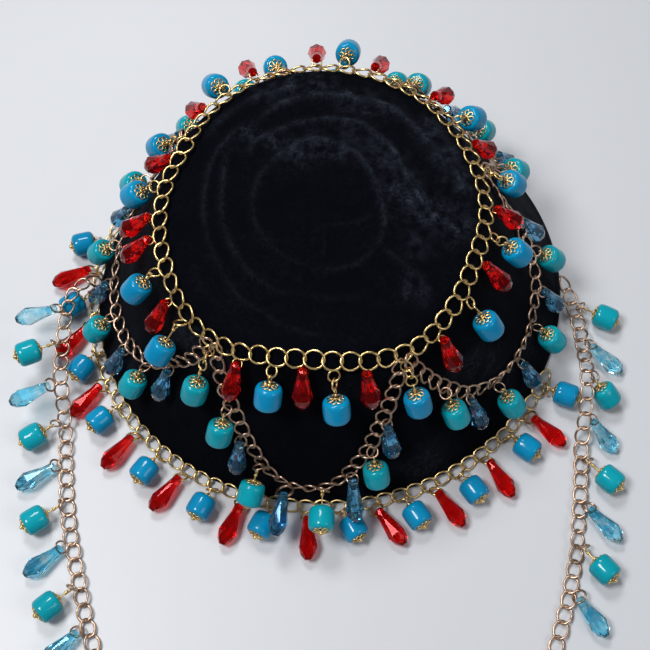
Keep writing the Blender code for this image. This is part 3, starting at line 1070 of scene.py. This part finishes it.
@dataclass(frozen=True)
class Charm:
    """A bead or drop hung from a chain.

    The place it hangs from is the middle of its chain's solid. Its ring is threaded through the
    link at the hook.
    """

    glass: Finish
    start: np.ndarray
    direction: np.ndarray
    away: np.ndarray
    hook: np.ndarray
    stem: float
    extra_rings: int = 0

    def axes(self) -> tuple[np.ndarray, np.ndarray, np.ndarray]:
        """Two directions across the charm, and the one along it."""
        x = unit(np.cross(self.away, self.direction))
        return x, np.cross(self.direction, x), self.direction


@dataclass
class Hung:
    """The pieces of a chain's charms."""

    glass: dict[Finish, list[bpy.types.Object]] = field(default_factory=dict)
    fittings: list[bpy.types.Object] = field(default_factory=list)
    rings: list[bpy.types.Object] = field(default_factory=list)


def wide_places(kind: Kind, stem: float) -> tuple[Place, ...]:
    """Where a charm's outline turns: distance from the chain, and radius."""
    if kind is Kind.BARREL:
        return (stem, BARREL.radius), (stem + BARREL.length, BARREL.radius)
    widest = DROP.top + DROP.length * DROP.widest
    return (DROP.top, DROP.neck), (widest, DROP.radius), (DROP.top + DROP.length, DROP.blunt)


class CharmMaker:
    """Masters of every part of a charm, and the copies of them along a chain."""

    def __init__(self, seed: int = 7) -> None:
        """Model each master once."""
        self.chance = random.Random(seed)
        self.barrel = self._barrel()
        self.drop = self._drop()
        self.cap = self._cap()
        self.tip = self._tip()
        self.eye = self._eye()
        self.pin = self._pin()
        self.ring = Bench.ring("ring_master", FITTING.jump_ring)

    def masters(self) -> list[bpy.types.Object]:
        """Every master."""
        return [self.barrel, self.drop, self.cap, self.tip, self.eye, self.pin, self.ring]

    @staticmethod
    def _turned(name: str, profile: Sequence[Place], sides: int, smooth: float | None,
                shifts: Sequence[float] = (), facets: bool = False) -> bpy.types.Object:
        """A piece turned about its own axis.

        Args:
            name: The piece's name.
            profile: Distance along the axis and radius, row by row.
            sides: Points in each row.
            smooth: The angle above which an edge stays sharp, or None for flat faces.
            shifts: How far each row is turned, in steps from point to point.
            facets: Whether the skin is cut into triangles.

        Returns:
            The piece.
        """
        rows = []
        for index, (distance, radius) in enumerate(profile):
            shift = shifts[index] if shifts else 0.0
            turns = [2 * pi * (step + shift) / sides for step in range(sides)]
            rows.append(np.array([(radius * cos(t), radius * sin(t), distance) for t in turns]))
        return Bench.loft(name, rows, smooth=smooth, facets=facets)

    def _barrel(self) -> bpy.types.Object:
        """A barrel bead with rounded ends and a thread hole's dimple at each."""
        r, length = BARREL.radius, BARREL.length
        half = ((0.0, 1.0 * MM), (0.0, r - 1.5 * MM), (0.12 * MM, r - 0.9 * MM),
                (0.50 * MM, r - 0.46 * MM), (1.1 * MM, r - 0.17 * MM), (2.0 * MM, r - 0.04 * MM),
                (3.2 * MM, r))
        profile = half + tuple((length - distance, radius) for distance, radius in half[::-1])
        return self._turned("barrel_master", profile, 20, 50)

    def _drop(self) -> bpy.types.Object:
        """A drop cut in long facets, with a flat table at its top."""
        length, r = DROP.length, DROP.radius
        profile = ((0.0, 1.25 * MM), (0.7 * MM, 1.8 * MM), (3.6 * MM, 2.05 * MM),
                   (DROP.widest * length, r), (0.88 * length, 2.7 * MM), (length, DROP.blunt))
        return self._turned("drop_master", profile, 8, None, (0.0, 0.0, 0.5, 0.0, 0.5, 0.5), True)

    @staticmethod
    def _cap() -> bpy.types.Object:
        """A filigree cap: wire petals round a raised collar. Its rim lies at z = 0."""
        reach, z = FITTING.petal_place
        collar = Bench.ring("collar", FITTING.collar, (10, 5))
        collar.location.z = FITTING.collar_z
        petals = []
        for index in range(FITTING.petals):
            turn = 2 * pi * index / FITTING.petals
            petal = Bench.ring("petal", FITTING.petal, (9, 4))
            petal.scale = (1.25, 0.92, 1.0)
            petal.rotation_euler = (0.0, radians(-14), turn)
            petal.location = (reach * cos(turn), reach * sin(turn), z)
            petals.append(petal)
        return Bench.master([*petals, collar], "cap_master")

    @staticmethod
    def _tip() -> bpy.types.Object:
        """The flattened ball at the end of a pin."""
        Bench.clear()
        bpy.ops.mesh.primitive_uv_sphere_add(segments=10, ring_count=7, radius=FITTING.tip)
        bpy.context.object.scale.z = 0.8
        return Bench.master([bpy.context.object], "tip_master")

    @staticmethod
    def _eye() -> bpy.types.Object:
        """An eye turned in the pin's wire, with two wraps below it."""
        loop = Bench.ring("eye", FITTING.eye, (12, 5))
        loop.rotation_euler.x = pi / 2
        pieces = [loop]
        for turn, z in enumerate(FITTING.wrap_places):
            wrap = Bench.ring("wrap", FITTING.wrap, (8, 5))
            wrap.location.z = z
            wrap.rotation_euler = (0.16, 0.0, 1.3 * turn)
            pieces.append(wrap)
        return Bench.master(pieces, "eye_master")

    @staticmethod
    def _pin() -> bpy.types.Object:
        """A length of pin wire, one metre long until it is scaled."""
        Bench.clear()
        bpy.ops.mesh.primitive_cylinder_add(vertices=6, radius=FITTING.pin, depth=1.0,
                                            end_fill_type="NGON", location=(0.0, 0.0, 0.5))
        return Bench.master([bpy.context.object], "pin_master", 60)

    def hang(self, chain: str, charms: Sequence[Charm]) -> list[bpy.types.Object]:
        """Hang charms from a chain, with gold fittings.

        Args:
            chain: The chain's name, which starts each piece's name.
            charms: What hangs from it.

        Returns:
            The jump rings, which still have to be joined to the chain's links.
        """
        hung = Hung()
        for charm in charms:
            x, y, _ = charm.axes()
            sides = turned(x, y, self.chance.uniform(0.0, 2 * pi))
            if charm.glass.kind is Kind.BARREL:
                self._hang_barrel(charm, sides, hung)
            else:
                self._hang_drop(charm, sides, hung)
        Bench.lift_off_floor(hung.fittings)
        for finish, pieces in hung.glass.items():
            dress(Bench.join(pieces, f"{chain}_{finish.name.lower()}_{finish.kind.value}s"), finish)
        dress(Bench.join(hung.fittings, f"{chain}_caps"), Finish.GOLD)
        return hung.rings

    def _copy(self, master: bpy.types.Object, *places: Matrix) -> list[bpy.types.Object]:
        """Copy a master to each place."""
        return Bench.copies(master, places, self.chance)

    def _hang_drop(self, charm: Charm, sides: tuple[np.ndarray, np.ndarray], hung: Hung) -> None:
        """Hang a cut drop by the ring through its hole.

        Args:
            charm: The drop.
            sides: Two directions across it.
            hung: Where its pieces go.
        """
        x, _, z = charm.axes()
        hole = charm.start + z * (DROP.top + DROP.hole)
        hung.rings += self._rings(charm, hole, x, DROP.ring_slack)
        glass = self._copy(self.drop, axes_matrix(charm.start + z * DROP.top, *sides, z))
        hung.glass.setdefault(charm.glass, []).extend(glass)

    def _hang_barrel(self, charm: Charm, sides: tuple[np.ndarray, np.ndarray], hung: Hung) -> None:
        """Hang a barrel bead by its pin, with a cap at each end.

        Args:
            charm: The bead.
            sides: Two directions across it.
            hung: Where its pieces go.
        """
        x, y, z = charm.axes()
        eye_at = self._eye_place(charm)
        eye = charm.start + z * eye_at
        hung.rings += self._rings(charm, charm.start + z * (eye_at - FITTING.eye[0]), x, BARREL.ring_slack)
        near = charm.start + z * charm.stem
        far = near + z * BARREL.length
        hung.fittings += self._copy(self.cap, axes_matrix(near, *sides, z),
                                    axes_matrix(far, sides[0], -sides[1], -z))
        hung.fittings += self._copy(self.tip, axes_matrix(far + z * FITTING.tip_past_bead, *sides, z))
        across, along = turned(y, x, self.chance.uniform(-0.5, 0.5))
        hung.fittings += self._copy(self.eye, axes_matrix(eye, across, -along, z))
        length = charm.stem + FITTING.pin_in_bead - eye_at - FITTING.eye_to_pin
        pin = axes_matrix(eye + z * FITTING.eye_to_pin, x, y, z) @ Matrix.Diagonal((1.0, 1.0, length, 1.0))
        hung.fittings += self._copy(self.pin, pin)
        glass = self._copy(self.barrel, axes_matrix(near, *sides, z))
        hung.glass.setdefault(charm.glass, []).extend(glass)

    def _eye_place(self, charm: Charm) -> float:
        """How far along the charm's axis its eye lies, so that a ring can reach the hook."""
        offset = charm.hook - charm.start
        along = float(np.dot(offset, charm.direction))
        beside = float(np.linalg.norm(offset - charm.direction * along))
        room = FITTING.far_reach**2 - beside**2
        step = max(room, FITTING.near_reach**2) ** 0.5
        rings = charm.extra_rings * FITTING.extra_ring
        return min(along + step + FITTING.eye[0] + rings, charm.stem - FITTING.eye_to_bead)

    def _rings(self, charm: Charm, lower: np.ndarray, across: np.ndarray,
               slack: float) -> list[bpy.types.Object]:
        """The jump rings between the hook on the chain and a charm's eye or hole.

        Args:
            charm: The charm.
            lower: The place of the wire or hole that the last ring holds.
            across: The direction across the charm.
            slack: How much longer the rings are than the way from hook to eye.

        Returns:
            One ring, or several in a row.
        """
        count = charm.extra_rings + 1
        span = lower - charm.hook
        reach = float(np.linalg.norm(span))
        line = span / reach
        radius = (reach + slack + FITTING.ring_overlap * (count - 1)) / (2 * count)
        flat = unit(across - line * np.dot(across, line))
        places = []
        for index in range(count):
            middle = charm.hook + line * (reach * (index + 0.5) / count)
            tilt = self.chance.uniform(0.25, 0.5) * self.chance.choice((-1, 1))
            if index % 2 == 1:
                tilt += pi / 2
            side, top = turned(flat, np.cross(line, flat), tilt)
            size = Matrix.Scale(radius / FITTING.jump_ring[0], 4)
            places.append(axes_matrix(middle, line, side, top) @ size)
        return self._copy(self.ring, *places)


@dataclass
class Chain:
    """A chain of twisted round links, with charms hung from it."""

    name: str
    metal: Finish
    link: LinkSize
    route: Route
    charms: list[Charm]
    roll: Callable[[float], float] = lambda distance: 0.0
    stray_roll: float = 0.09
    stray: float = 0.12

    def build(self, maker: CharmMaker, chance: random.Random) -> None:
        """Model the links, hang the charms and fix both to the hat."""
        master = self._link()
        count = max(2, round(self.route.length / self.link.pitch))
        step = self.route.length / count
        places = []
        stretch = Matrix.Diagonal((step / self.link.pitch, 1.0, 1.0, 1.0))
        for index in range(count):
            distance = (index + 0.5) * step
            along, across, away = self.route.axes(distance)
            roll = self.roll(distance) + chance.uniform(-self.stray_roll, self.stray_roll)
            side, top = turned(across, away, roll)
            spot = self.route.point(distance) + side * chance.uniform(-self.stray, self.stray) * MM
            places.append(axes_matrix(spot, along, side, top) @ stretch)
        links = Bench.copies(master, places, chance)
        rings = maker.hang(self.name, self.charms)
        Bench.lift_off_floor([*links, *rings])
        piece = Bench.join([*links, *rings], f"{self.name}_links")
        bpy.data.objects.remove(master)
        dress(piece, self.metal, self.name)

    def _link(self) -> bpy.types.Object:
        """One link: an oval ring whose corners are bent up and down in turn."""
        master = Bench.ring("link_master", (self.link.half_width, self.link.wire))
        stretch = self.link.half_length / self.link.half_width
        for vertex in master.data.vertices:
            turn = atan2(vertex.co.y, vertex.co.x)
            vertex.co.z += self.link.twist * sin(2 * turn)
            vertex.co.x *= stretch
        return master


@dataclass(frozen=True)
class Leg:
    """The charms along one leg of the chin chain, from its end at the hat.

    The first charm's place and the step are in millimetres, and the sweep towards the chain's
    far end is in degrees. The first charms may lie on a raised floor: the rim chain's charms.
    """

    first: float
    step: float
    count: int
    raised_floor: float
    sweep: float


@dataclass(frozen=True)
class Jewellery:
    """The places of every chain and charm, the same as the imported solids'.

    Tables give angles in degrees, counter-clockwise from the right, and millimetres. A route's
    stops are an angle and a drop below the crown's edge, or for the chin chain a point. A crown
    drop is its angle and how many degrees it stands out, with its stem between them for a barrel.
    A lift is a height above the skin, and a hook is where a charm's ring holds its chain. Each end
    of a swag runs on under the crown chain by an angle and a drop. The waves are lengths along a
    chain in which it rolls to and fro.
    """

    crown_tube: float = 2.5 * MM
    chain_tube: float = 2.2 * MM
    swag_stem: float = 8.6 * MM
    rim_stem: float = 5.8 * MM
    chin_stem: float = 8.8 * MM
    crown_drops: tuple[Place, ...] = (
        (183, 13), (191, 12), (213, 5), (243.5, 8), (264, 0), (283.5, 0), (310, 3), (338.5, 4),
        (360, 6), (386, 2), (409, 12), (432, 14), (452, 22), (474, 20), (496, 5), (520, 3))
    crown_barrels: tuple[Triple, ...] = (
        (202.5, 11, 8), (221, 12, 14), (233, 18.5, 0), (254.5, 11, 0), (273.5, 15, 0), (296, 17, 0),
        (325, 14, 0), (350, 14, 2), (375, 18.5, 0), (397.5, 11, 5), (420, 18.5, 0), (442.5, 11, 18),
        (465, 18.5, 6), (485.5, 11, 10), (510, 21, 0), (531, 13, 3))
    teal_barrels: Place = (233, 420)
    extra_ring_stems: Place = (13.0, 16.0)
    hook_lift: float = 1.9 * MM
    crown_hook: float = 3.0 * MM
    crown_lift: float = 1.4 * MM
    swag_hook: float = 2.6 * MM
    swag_low_hook: Place = (2.4 * MM, 2.2 * MM)
    swag_lift: float = 1.5 * MM
    swag_ends: Place = (1.2, 4.8)
    swag_roll: float = 0.45
    swag_wave: float = 15 * MM
    crown_sag: tuple[Place, ...] = (
        (0, 0.5), (20, 0.0), (40, 0.4), (60, 0.2), (80, 0.6), (100, 1.0), (120, 0.8), (135, -0.4),
        (156, -2.2), (172, -0.8), (190, 0.5), (204, 1.2), (214, 2.6), (223, 3.8), (232, 4.2),
        (239, 3.0), (246, 1.2), (256, -0.5), (268, -1.4), (280, -0.1), (290, 1.7), (296, 2.9),
        (303, 2.8), (310, 1.8), (322, 0.4), (333, -0.9), (345, -0.3))
    rim_ends: Place = (162, 337)
    rim_first_angle: float = 167
    rim_step: float = 7.5
    rim_leans: tuple[float, ...] = (30, 30, 34, 38, 38, 26, 10, 10, 8, -4, 0, -3, -16, 6, 28, 28, 16,
                                    12, 2, -8, 4, -8, 6)
    rim_out: float = 1.8 * MM
    rim_z: float = 3.4 * MM
    rim_links_in: float = 0.2 * MM
    rim_links_down: float = 0.9 * MM
    rim_hook_out: float = 1.8 * MM
    rim_hook_z: float = 1.7 * MM
    rim_tilt: float = 0.9
    band_drop: float = 40 * MM
    back_route: tuple[Place, ...] = ((2.5, 8), (4.3, 14), (6.8, 20), (10, 27), (15, 35), (22.5, 39),
                                     (30, 35), (35, 27), (38.2, 20), (40.7, 14), (42.5, 8))
    front_route: tuple[Place, ...] = ((235.5, 9.5), (237.3, 15), (239.8, 21), (243, 28), (249, 43),
                                      (256, 57), (264, 62), (272, 58), (280, 44), (286.3, 28),
                                      (289.2, 21), (291.7, 14.5), (293.5, 9))
    right_route: tuple[Place, ...] = ((298.5, 9), (300.3, 14.5), (302.8, 21), (306, 28), (313, 40),
                                      (325, 48.5), (338, 50), (352, 47), (361, 38), (365.5, 28),
                                      (368.2, 20), (370.7, 14), (372.5, 8))
    left_route: tuple[Place, ...] = ((512.5, 8), (514.3, 14), (516.8, 20), (520, 28), (527, 41),
                                     (537, 48), (550, 50), (562, 48.5), (573, 41), (581, 29),
                                     (586.2, 21), (588.7, 15), (590.5, 9.5))
    swag_step: float = 15.0 * MM
    swag_first: float = 19.0 * MM
    over_rim_start: float = 22.5 * MM
    rim_charms_top: float = 10.4 * MM
    chin_route: tuple[Triple, ...] = (
        (-92.6, 0, 8.6), (-97, -1.5, 12), (-102, -7, 13), (-103.7, -16, 13), (-104, -28, 13),
        (-103.8, -40, 13), (-103, -50, 9), (-102, -60, 4), (-101.3, -70, 2.6), (-99.5, -84, 2.6),
        (-96.5, -101, 2.6), (-92, -118, 2.6), (-86, -138, 2.6), (-77, -157, 2.6), (-64, -175, 2.6),
        (-46, -190, 2.6), (-24, -199, 2.6), (-2, -202, 2.6), (20, -199, 2.6), (42, -190, 2.6),
        (60, -175, 2.6), (73, -157, 2.6), (81, -138, 2.6), (86.5, -122, 2.6), (90.5, -106, 2.6),
        (93, -90, 2.6), (94.8, -76, 2.6), (95.5, -67, 4), (96.5, -58, 9), (97.5, -48, 13),
        (98.5, -38, 12), (99, -27, 7), (98.8, -16, 4), (97, -7, 4.5), (94.5, -1, 6.5), (92.6, 2, 8.6))
    chin_sink: float = 1.2 * MM
    chin_hook: float = 2.5 * MM
    end_lean: float = 0.008
    chin_sway: float = 0.25
    chin_twist: float = 0.9
    chin_twist_start: float = 0.45
    chin_waves: Triple = (9 * MM, 21 * MM, 34 * MM)
    chin_legs: tuple[Leg, Leg] = (Leg(19.5, 15.6, 9, 10.4 * MM, 25), Leg(12.6, 16.8, 8, 0.0, -40))
    crown_link: LinkSize = LinkSize(3.5 * MM, 3.1 * MM, 0.42 * MM)
    rose_link: LinkSize = LinkSize(3.3 * MM, 2.6 * MM, 0.45 * MM)
    rim_link: LinkSize = LinkSize(3.3 * MM, 2.5 * MM, 0.38 * MM)

    def build(self) -> None:
        """Make every chain."""
        maker = CharmMaker()
        chance = random.Random(11)
        chains = [self._crown_chain(), self._rim_chain()]
        swags = {"swag_front": self.front_route, "swag_right": self.right_route,
                 "swag_back_right": self._back(375), "swag_back": self._back(420),
                 "swag_back_left": self._back(465), "swag_left": self.left_route}
        chains += [self._swag(name, stops) for name, stops in swags.items()]
        chains.append(self._chin_chain())
        for chain in chains:
            chain.build(maker, chance)
        for master in maker.masters():
            bpy.data.objects.remove(master)

    def _back(self, start: float) -> tuple[Place, ...]:
        """The route of one of the three swags at the back."""
        return tuple((start + turn, drop) for turn, drop in self.back_route)

    def _lies_on_skin(self, glass: Finish, angle: float, drop: float, tube: float, stem: float,
                      hook: float, stand: float = 0.0, extra_rings: int = 0) -> Charm:
        """A charm that lies down the band from a chain on the skin.

        Args:
            glass: The charm's glass.
            angle: Where it hangs, in degrees counter-clockwise from the right.
            drop: How far below the middle of the crown's edge its chain lies there.
            tube: The radius of the chain's solid.
            stem: How far a barrel's near end lies from the chain.
            hook: How far below the chain's middle its ring is hooked.
            stand: How many degrees it stands out from the band.
            extra_rings: How many rings it has besides the first.

        Returns:
            The charm.
        """
        start = HAT.skin(angle, drop, tube + GAP + LOOP_RISE)
        reach, radius = wide_places(glass.kind, stem)[0 if glass.kind is Kind.BARREL else 1]
        lift = radius + 2 * GAP + reach * tan(radians(stand))
        target = HAT.skin(angle, drop + reach, lift)
        away = HAT.normal(angle, drop + reach)
        return Charm(glass, start, unit(target - start), away,
                     HAT.skin(angle, drop + hook, self.hook_lift), stem, extra_rings)

    @staticmethod
    def _lies_on_floor(glass: Finish, chain: np.ndarray, out: np.ndarray, floor: float, stem: float,
                       hook: np.ndarray) -> Charm:
        """A charm that lies outward from a chain, as low as its wide places let it.

        Args:
            glass: The charm's glass.
            chain: The middle of the chain's solid where it hangs.
            out: The level direction that it points in.
            floor: The height of what it lies on.
            stem: How far a barrel's near end lies from the chain.
            hook: Where its ring is hooked.

        Returns:
            The charm.
        """
        start = chain + LOOP_RISE * UP
        room = start[2] - floor - GAP
        fall = min(np.arcsin(min(1.0, room / hypot(reach, radius))) - atan2(radius, reach)
                   for reach, radius in wide_places(glass.kind, stem))
        return Charm(glass, start, out * cos(fall) - UP * sin(fall), UP, hook, stem)

    def _crown_chain(self) -> Chain:
        """The chain round the crown's edge."""
        angles, sags = zip(*self.crown_sag)

        def drop_at(angle: float) -> float:
            return float(np.interp(angle, angles, sags, period=360)) * MM

        stops = range(0, 360, 12)
        route = Route([HAT.skin(a, drop_at(a), self.crown_lift) for a in stops],
                      [HAT.normal(a, drop_at(a)) for a in stops], True)
        charms = [self._lies_on_skin(Finish.RED, angle, drop_at(angle), self.crown_tube, 0.0,
                                     self.crown_hook, stand) for angle, stand in self.crown_drops]
        for angle, stem, stand in self.crown_barrels:
            glass = Finish.TEAL if angle in self.teal_barrels else Finish.BLUE
            extra = sum(stem > limit for limit in self.extra_ring_stems)
            charms.append(self._lies_on_skin(glass, angle, drop_at(angle), self.crown_tube, stem * MM,
                                             self.crown_hook, stand, extra))
        return Chain("crown_chain", Finish.GOLD, self.crown_link, route, charms)

    def _rim_chain(self) -> Chain:
        """The chain round the foot of the band."""
        stops = np.linspace(*self.rim_ends, 24)
        beyond, z = self.rim_out - self.rim_links_in, self.rim_z - self.rim_links_down
        normals = [unit(HAT.normal(a, self.band_drop) + (0.0, 0.0, self.rim_tilt)) for a in stops]
        route = Route([HAT.rim_point(a, beyond, z) for a in stops], normals, False)
        charms = []
        for index, lean in enumerate(self.rim_leans):
            angle = self.rim_first_angle + self.rim_step * index
            out = outward(angle + lean)
            chain = HAT.rim_point(angle, self.rim_out, self.rim_z)
            hook = HAT.rim_point(angle, self.rim_out, self.rim_hook_z) + self.rim_hook_out * out
            charms.append(self._lies_on_floor((Finish.BLUE, Finish.RED)[index % 2], chain, out, 0.0,
                                              self.rim_stem, hook))
        return Chain("rim_chain", Finish.GOLD, self.rim_link, route, charms)

    def _swag(self, name: str, stops: tuple[Place, ...]) -> Chain:
        """A chain draped on the band between two places of the crown chain."""
        turn, rise = self.swag_ends
        first, last = stops[0][0] - turn, stops[-1][0] + turn
        shown = ((first, stops[0][1] - rise), *stops, (last, stops[-1][1] - rise))
        route = Route([HAT.skin(angle, drop * MM, self.swag_lift) for angle, drop in shown],
                      [HAT.normal(angle, drop * MM) for angle, drop in shown], False)
        phase = 0.7 * len(name) + 0.01 * first
        return Chain(name, Finish.ROSE_GOLD, self.rose_link, route, self._swag_charms(stops),
                     lambda distance: self.swag_roll * sin(distance / self.swag_wave + phase))

    def _swag_charms(self, stops: tuple[Place, ...]) -> list[Charm]:
        """Teal barrels and steel blue drops in turn, at even steps."""
        table = np.array(stops, dtype=float)
        places = np.array([HAT.skin(angle, drop * MM) for angle, drop in stops])
        along = distances_along(places)
        track = read_between(np.arange(0.0, along[-1], MM), along, table)
        span = len(track) - 1 - 2 * self.swag_first / MM
        count = round(span * MM / self.swag_step) + 1
        charms = []
        for index in range(count):
            angle, drop = track[round(self.swag_first / MM + span * index / (count - 1))]
            glass = (Finish.TEAL, Finish.STEEL_BLUE)[index % 2]
            chain = HAT.skin(angle, drop * MM, self.chain_tube + GAP)
            if chain[2] > self.over_rim_start:
                charms.append(self._lies_on_skin(glass, angle, drop * MM, self.chain_tube, self.swag_stem,
                                                 self.swag_hook))
            else:
                hook = HAT.skin(angle, drop * MM + self.swag_low_hook[0], self.swag_low_hook[1])
                charms.append(self._lies_on_floor(glass, chain, outward(angle), self.rim_charms_top,
                                                  self.swag_stem, hook))
        return charms

    def _chin_chain(self) -> Chain:
        """The chain laid on the floor in front of the hat."""
        solid = np.array(self.chin_route) * MM
        normals = [UP] * len(solid)
        for end in (0, -1):
            normals[end] = unit(UP + (self.chin_route[end][0] * self.end_lean, 0.0, 0.0))
        route = Route(solid - UP * self.chin_sink, normals, False)
        fine = self._even(solid)
        charms = []
        for side, leg in enumerate(self.chin_legs):
            for index in range(leg.count):
                spot = round(leg.first + leg.step * index)
                spot = spot if side == 0 else len(fine) - 1 - spot
                chain = fine[spot]
                along = unit((fine[spot + 4] - fine[spot - 4]) * (1.0, 1.0, 0.0))
                out = np.cross(along, UP)
                swept, _ = turned(out, along, radians(leg.sweep))
                glass = (Finish.LIGHT_BLUE, Finish.TEAL)[(index + side) % 2]
                floor = leg.raised_floor if chain[2] > self.rim_charms_top else 0.0
                hook = chain + out * self.chin_hook - UP * MM
                charms.append(self._lies_on_floor(glass, chain, swept, floor, self.chin_stem, hook))
        return Chain("chin_chain", Finish.ROSE_GOLD, self.rose_link, route, charms, self._chin_roll)

    def _chin_roll(self, distance: float) -> float:
        """How far the chin chain has rolled over: nearly flat, with short twisted stretches."""
        short, middle, long = (distance / wave for wave in self.chin_waves)
        twisted = max(0.0, sin(middle + 1.0) * sin(long) - self.chin_twist_start)
        return self.chin_sway * sin(short) + self.chin_twist * twisted

    @staticmethod
    def _even(points: np.ndarray) -> np.ndarray:
        """Points a millimetre apart on a smooth curve through the route."""
        fine = smooth_line(points, 12, False)
        along = distances_along(fine)
        stations = np.linspace(0.0, along[-1], ceil(along[-1] / MM) + 1)
        return read_between(stations, along, fine)


# The studio.


@dataclass(frozen=True)
class Lamp:
    """A soft square lamp aimed at a place."""

    name: str
    spot: Triple
    aim: Triple
    side: float
    power: float

    def build(self) -> None:
        """Hang the lamp."""
        Bench.clear()
        bpy.ops.object.light_add(type="AREA", location=self.spot)
        lamp = bpy.context.object
        lamp.name = self.name
        lamp.data.size = self.side
        lamp.data.energy = self.power
        lamp.rotation_mode = "QUATERNION"
        lamp.rotation_quaternion = (Vector(self.aim) - Vector(self.spot)).to_track_quat("-Z", "Y")


@dataclass(frozen=True)
class Studio:
    """The floor, the lights and the camera.

    The camera's shifts move it sideways and along its own upright, in metres.
    """

    focal_pixels: float = 1100.0
    elevation: float = 67.0
    back_off: float = 0.4482
    shift_right: float = -0.0023
    shift_up: float = -0.0143
    sensor: float = 36.0
    floor_side: float = 6.0
    sky: Colour = (0.90, 0.93, 1.0)
    sky_strength: float = 0.16
    lamps: tuple[Lamp, ...] = (
        Lamp("key_light", (-0.45, -0.10, 0.95), (0.0, -0.03, 0.03), 0.30, 7.1),
        Lamp("window_light", (-0.16, 0.42, 0.80), (0.0, -0.03, 0.03), 0.22, 3.4),
        Lamp("fill_light", (0.75, -0.45, 0.80), (0.0, -0.05, 0.02), 0.50, 2.3))

    def build(self) -> None:
        """Set the hat in a plain pale studio."""
        self._floor()
        self._sky()
        for lamp in self.lamps:
            lamp.build()
        self._camera()

    def _floor(self) -> None:
        """A broad floor under the hat."""
        Bench.clear()
        bpy.ops.mesh.primitive_plane_add(size=self.floor_side)
        floor = bpy.context.object
        floor.name = "floor"
        floor.data.materials.append(PaleFloor().make())

    def _sky(self) -> None:
        """Pale light from all round."""
        world = bpy.data.worlds.new("studio")
        world.use_nodes = True
        sky = world.node_tree.nodes["Background"]
        sky.inputs["Color"].default_value = (*self.sky, 1.0)
        sky.inputs["Strength"].default_value = self.sky_strength
        bpy.context.scene.world = world
        bpy.context.scene.view_settings.view_transform = "Standard"

    def _camera(self) -> None:
        """The camera at the photograph's angle."""
        lift = radians(self.elevation)
        back = Vector((0.0, -cos(lift), sin(lift)))
        up = Vector((0.0, sin(lift), cos(lift)))
        Bench.clear()
        bpy.ops.object.camera_add()
        camera = bpy.context.object
        camera.name = "camera"
        camera.location = back * self.back_off + up * self.shift_up + Vector((self.shift_right, 0, 0))
        camera.rotation_euler = (pi / 2 - lift, 0.0, 0.0)
        camera.data.sensor_width = self.sensor
        camera.data.lens = self.sensor * self.focal_pixels / IMAGE_SIDE
        camera.data.clip_start = 0.01
        bpy.context.scene.camera = camera


def main() -> None:
    """Dress the hat, piece by piece, and set it in the studio."""
    Studio().build()
    Crown().build()
    Band().build()
    Jewellery().build()


if __name__ == "__main__":
    logging.basicConfig(level=logging.INFO, format="%(message)s")
    main()
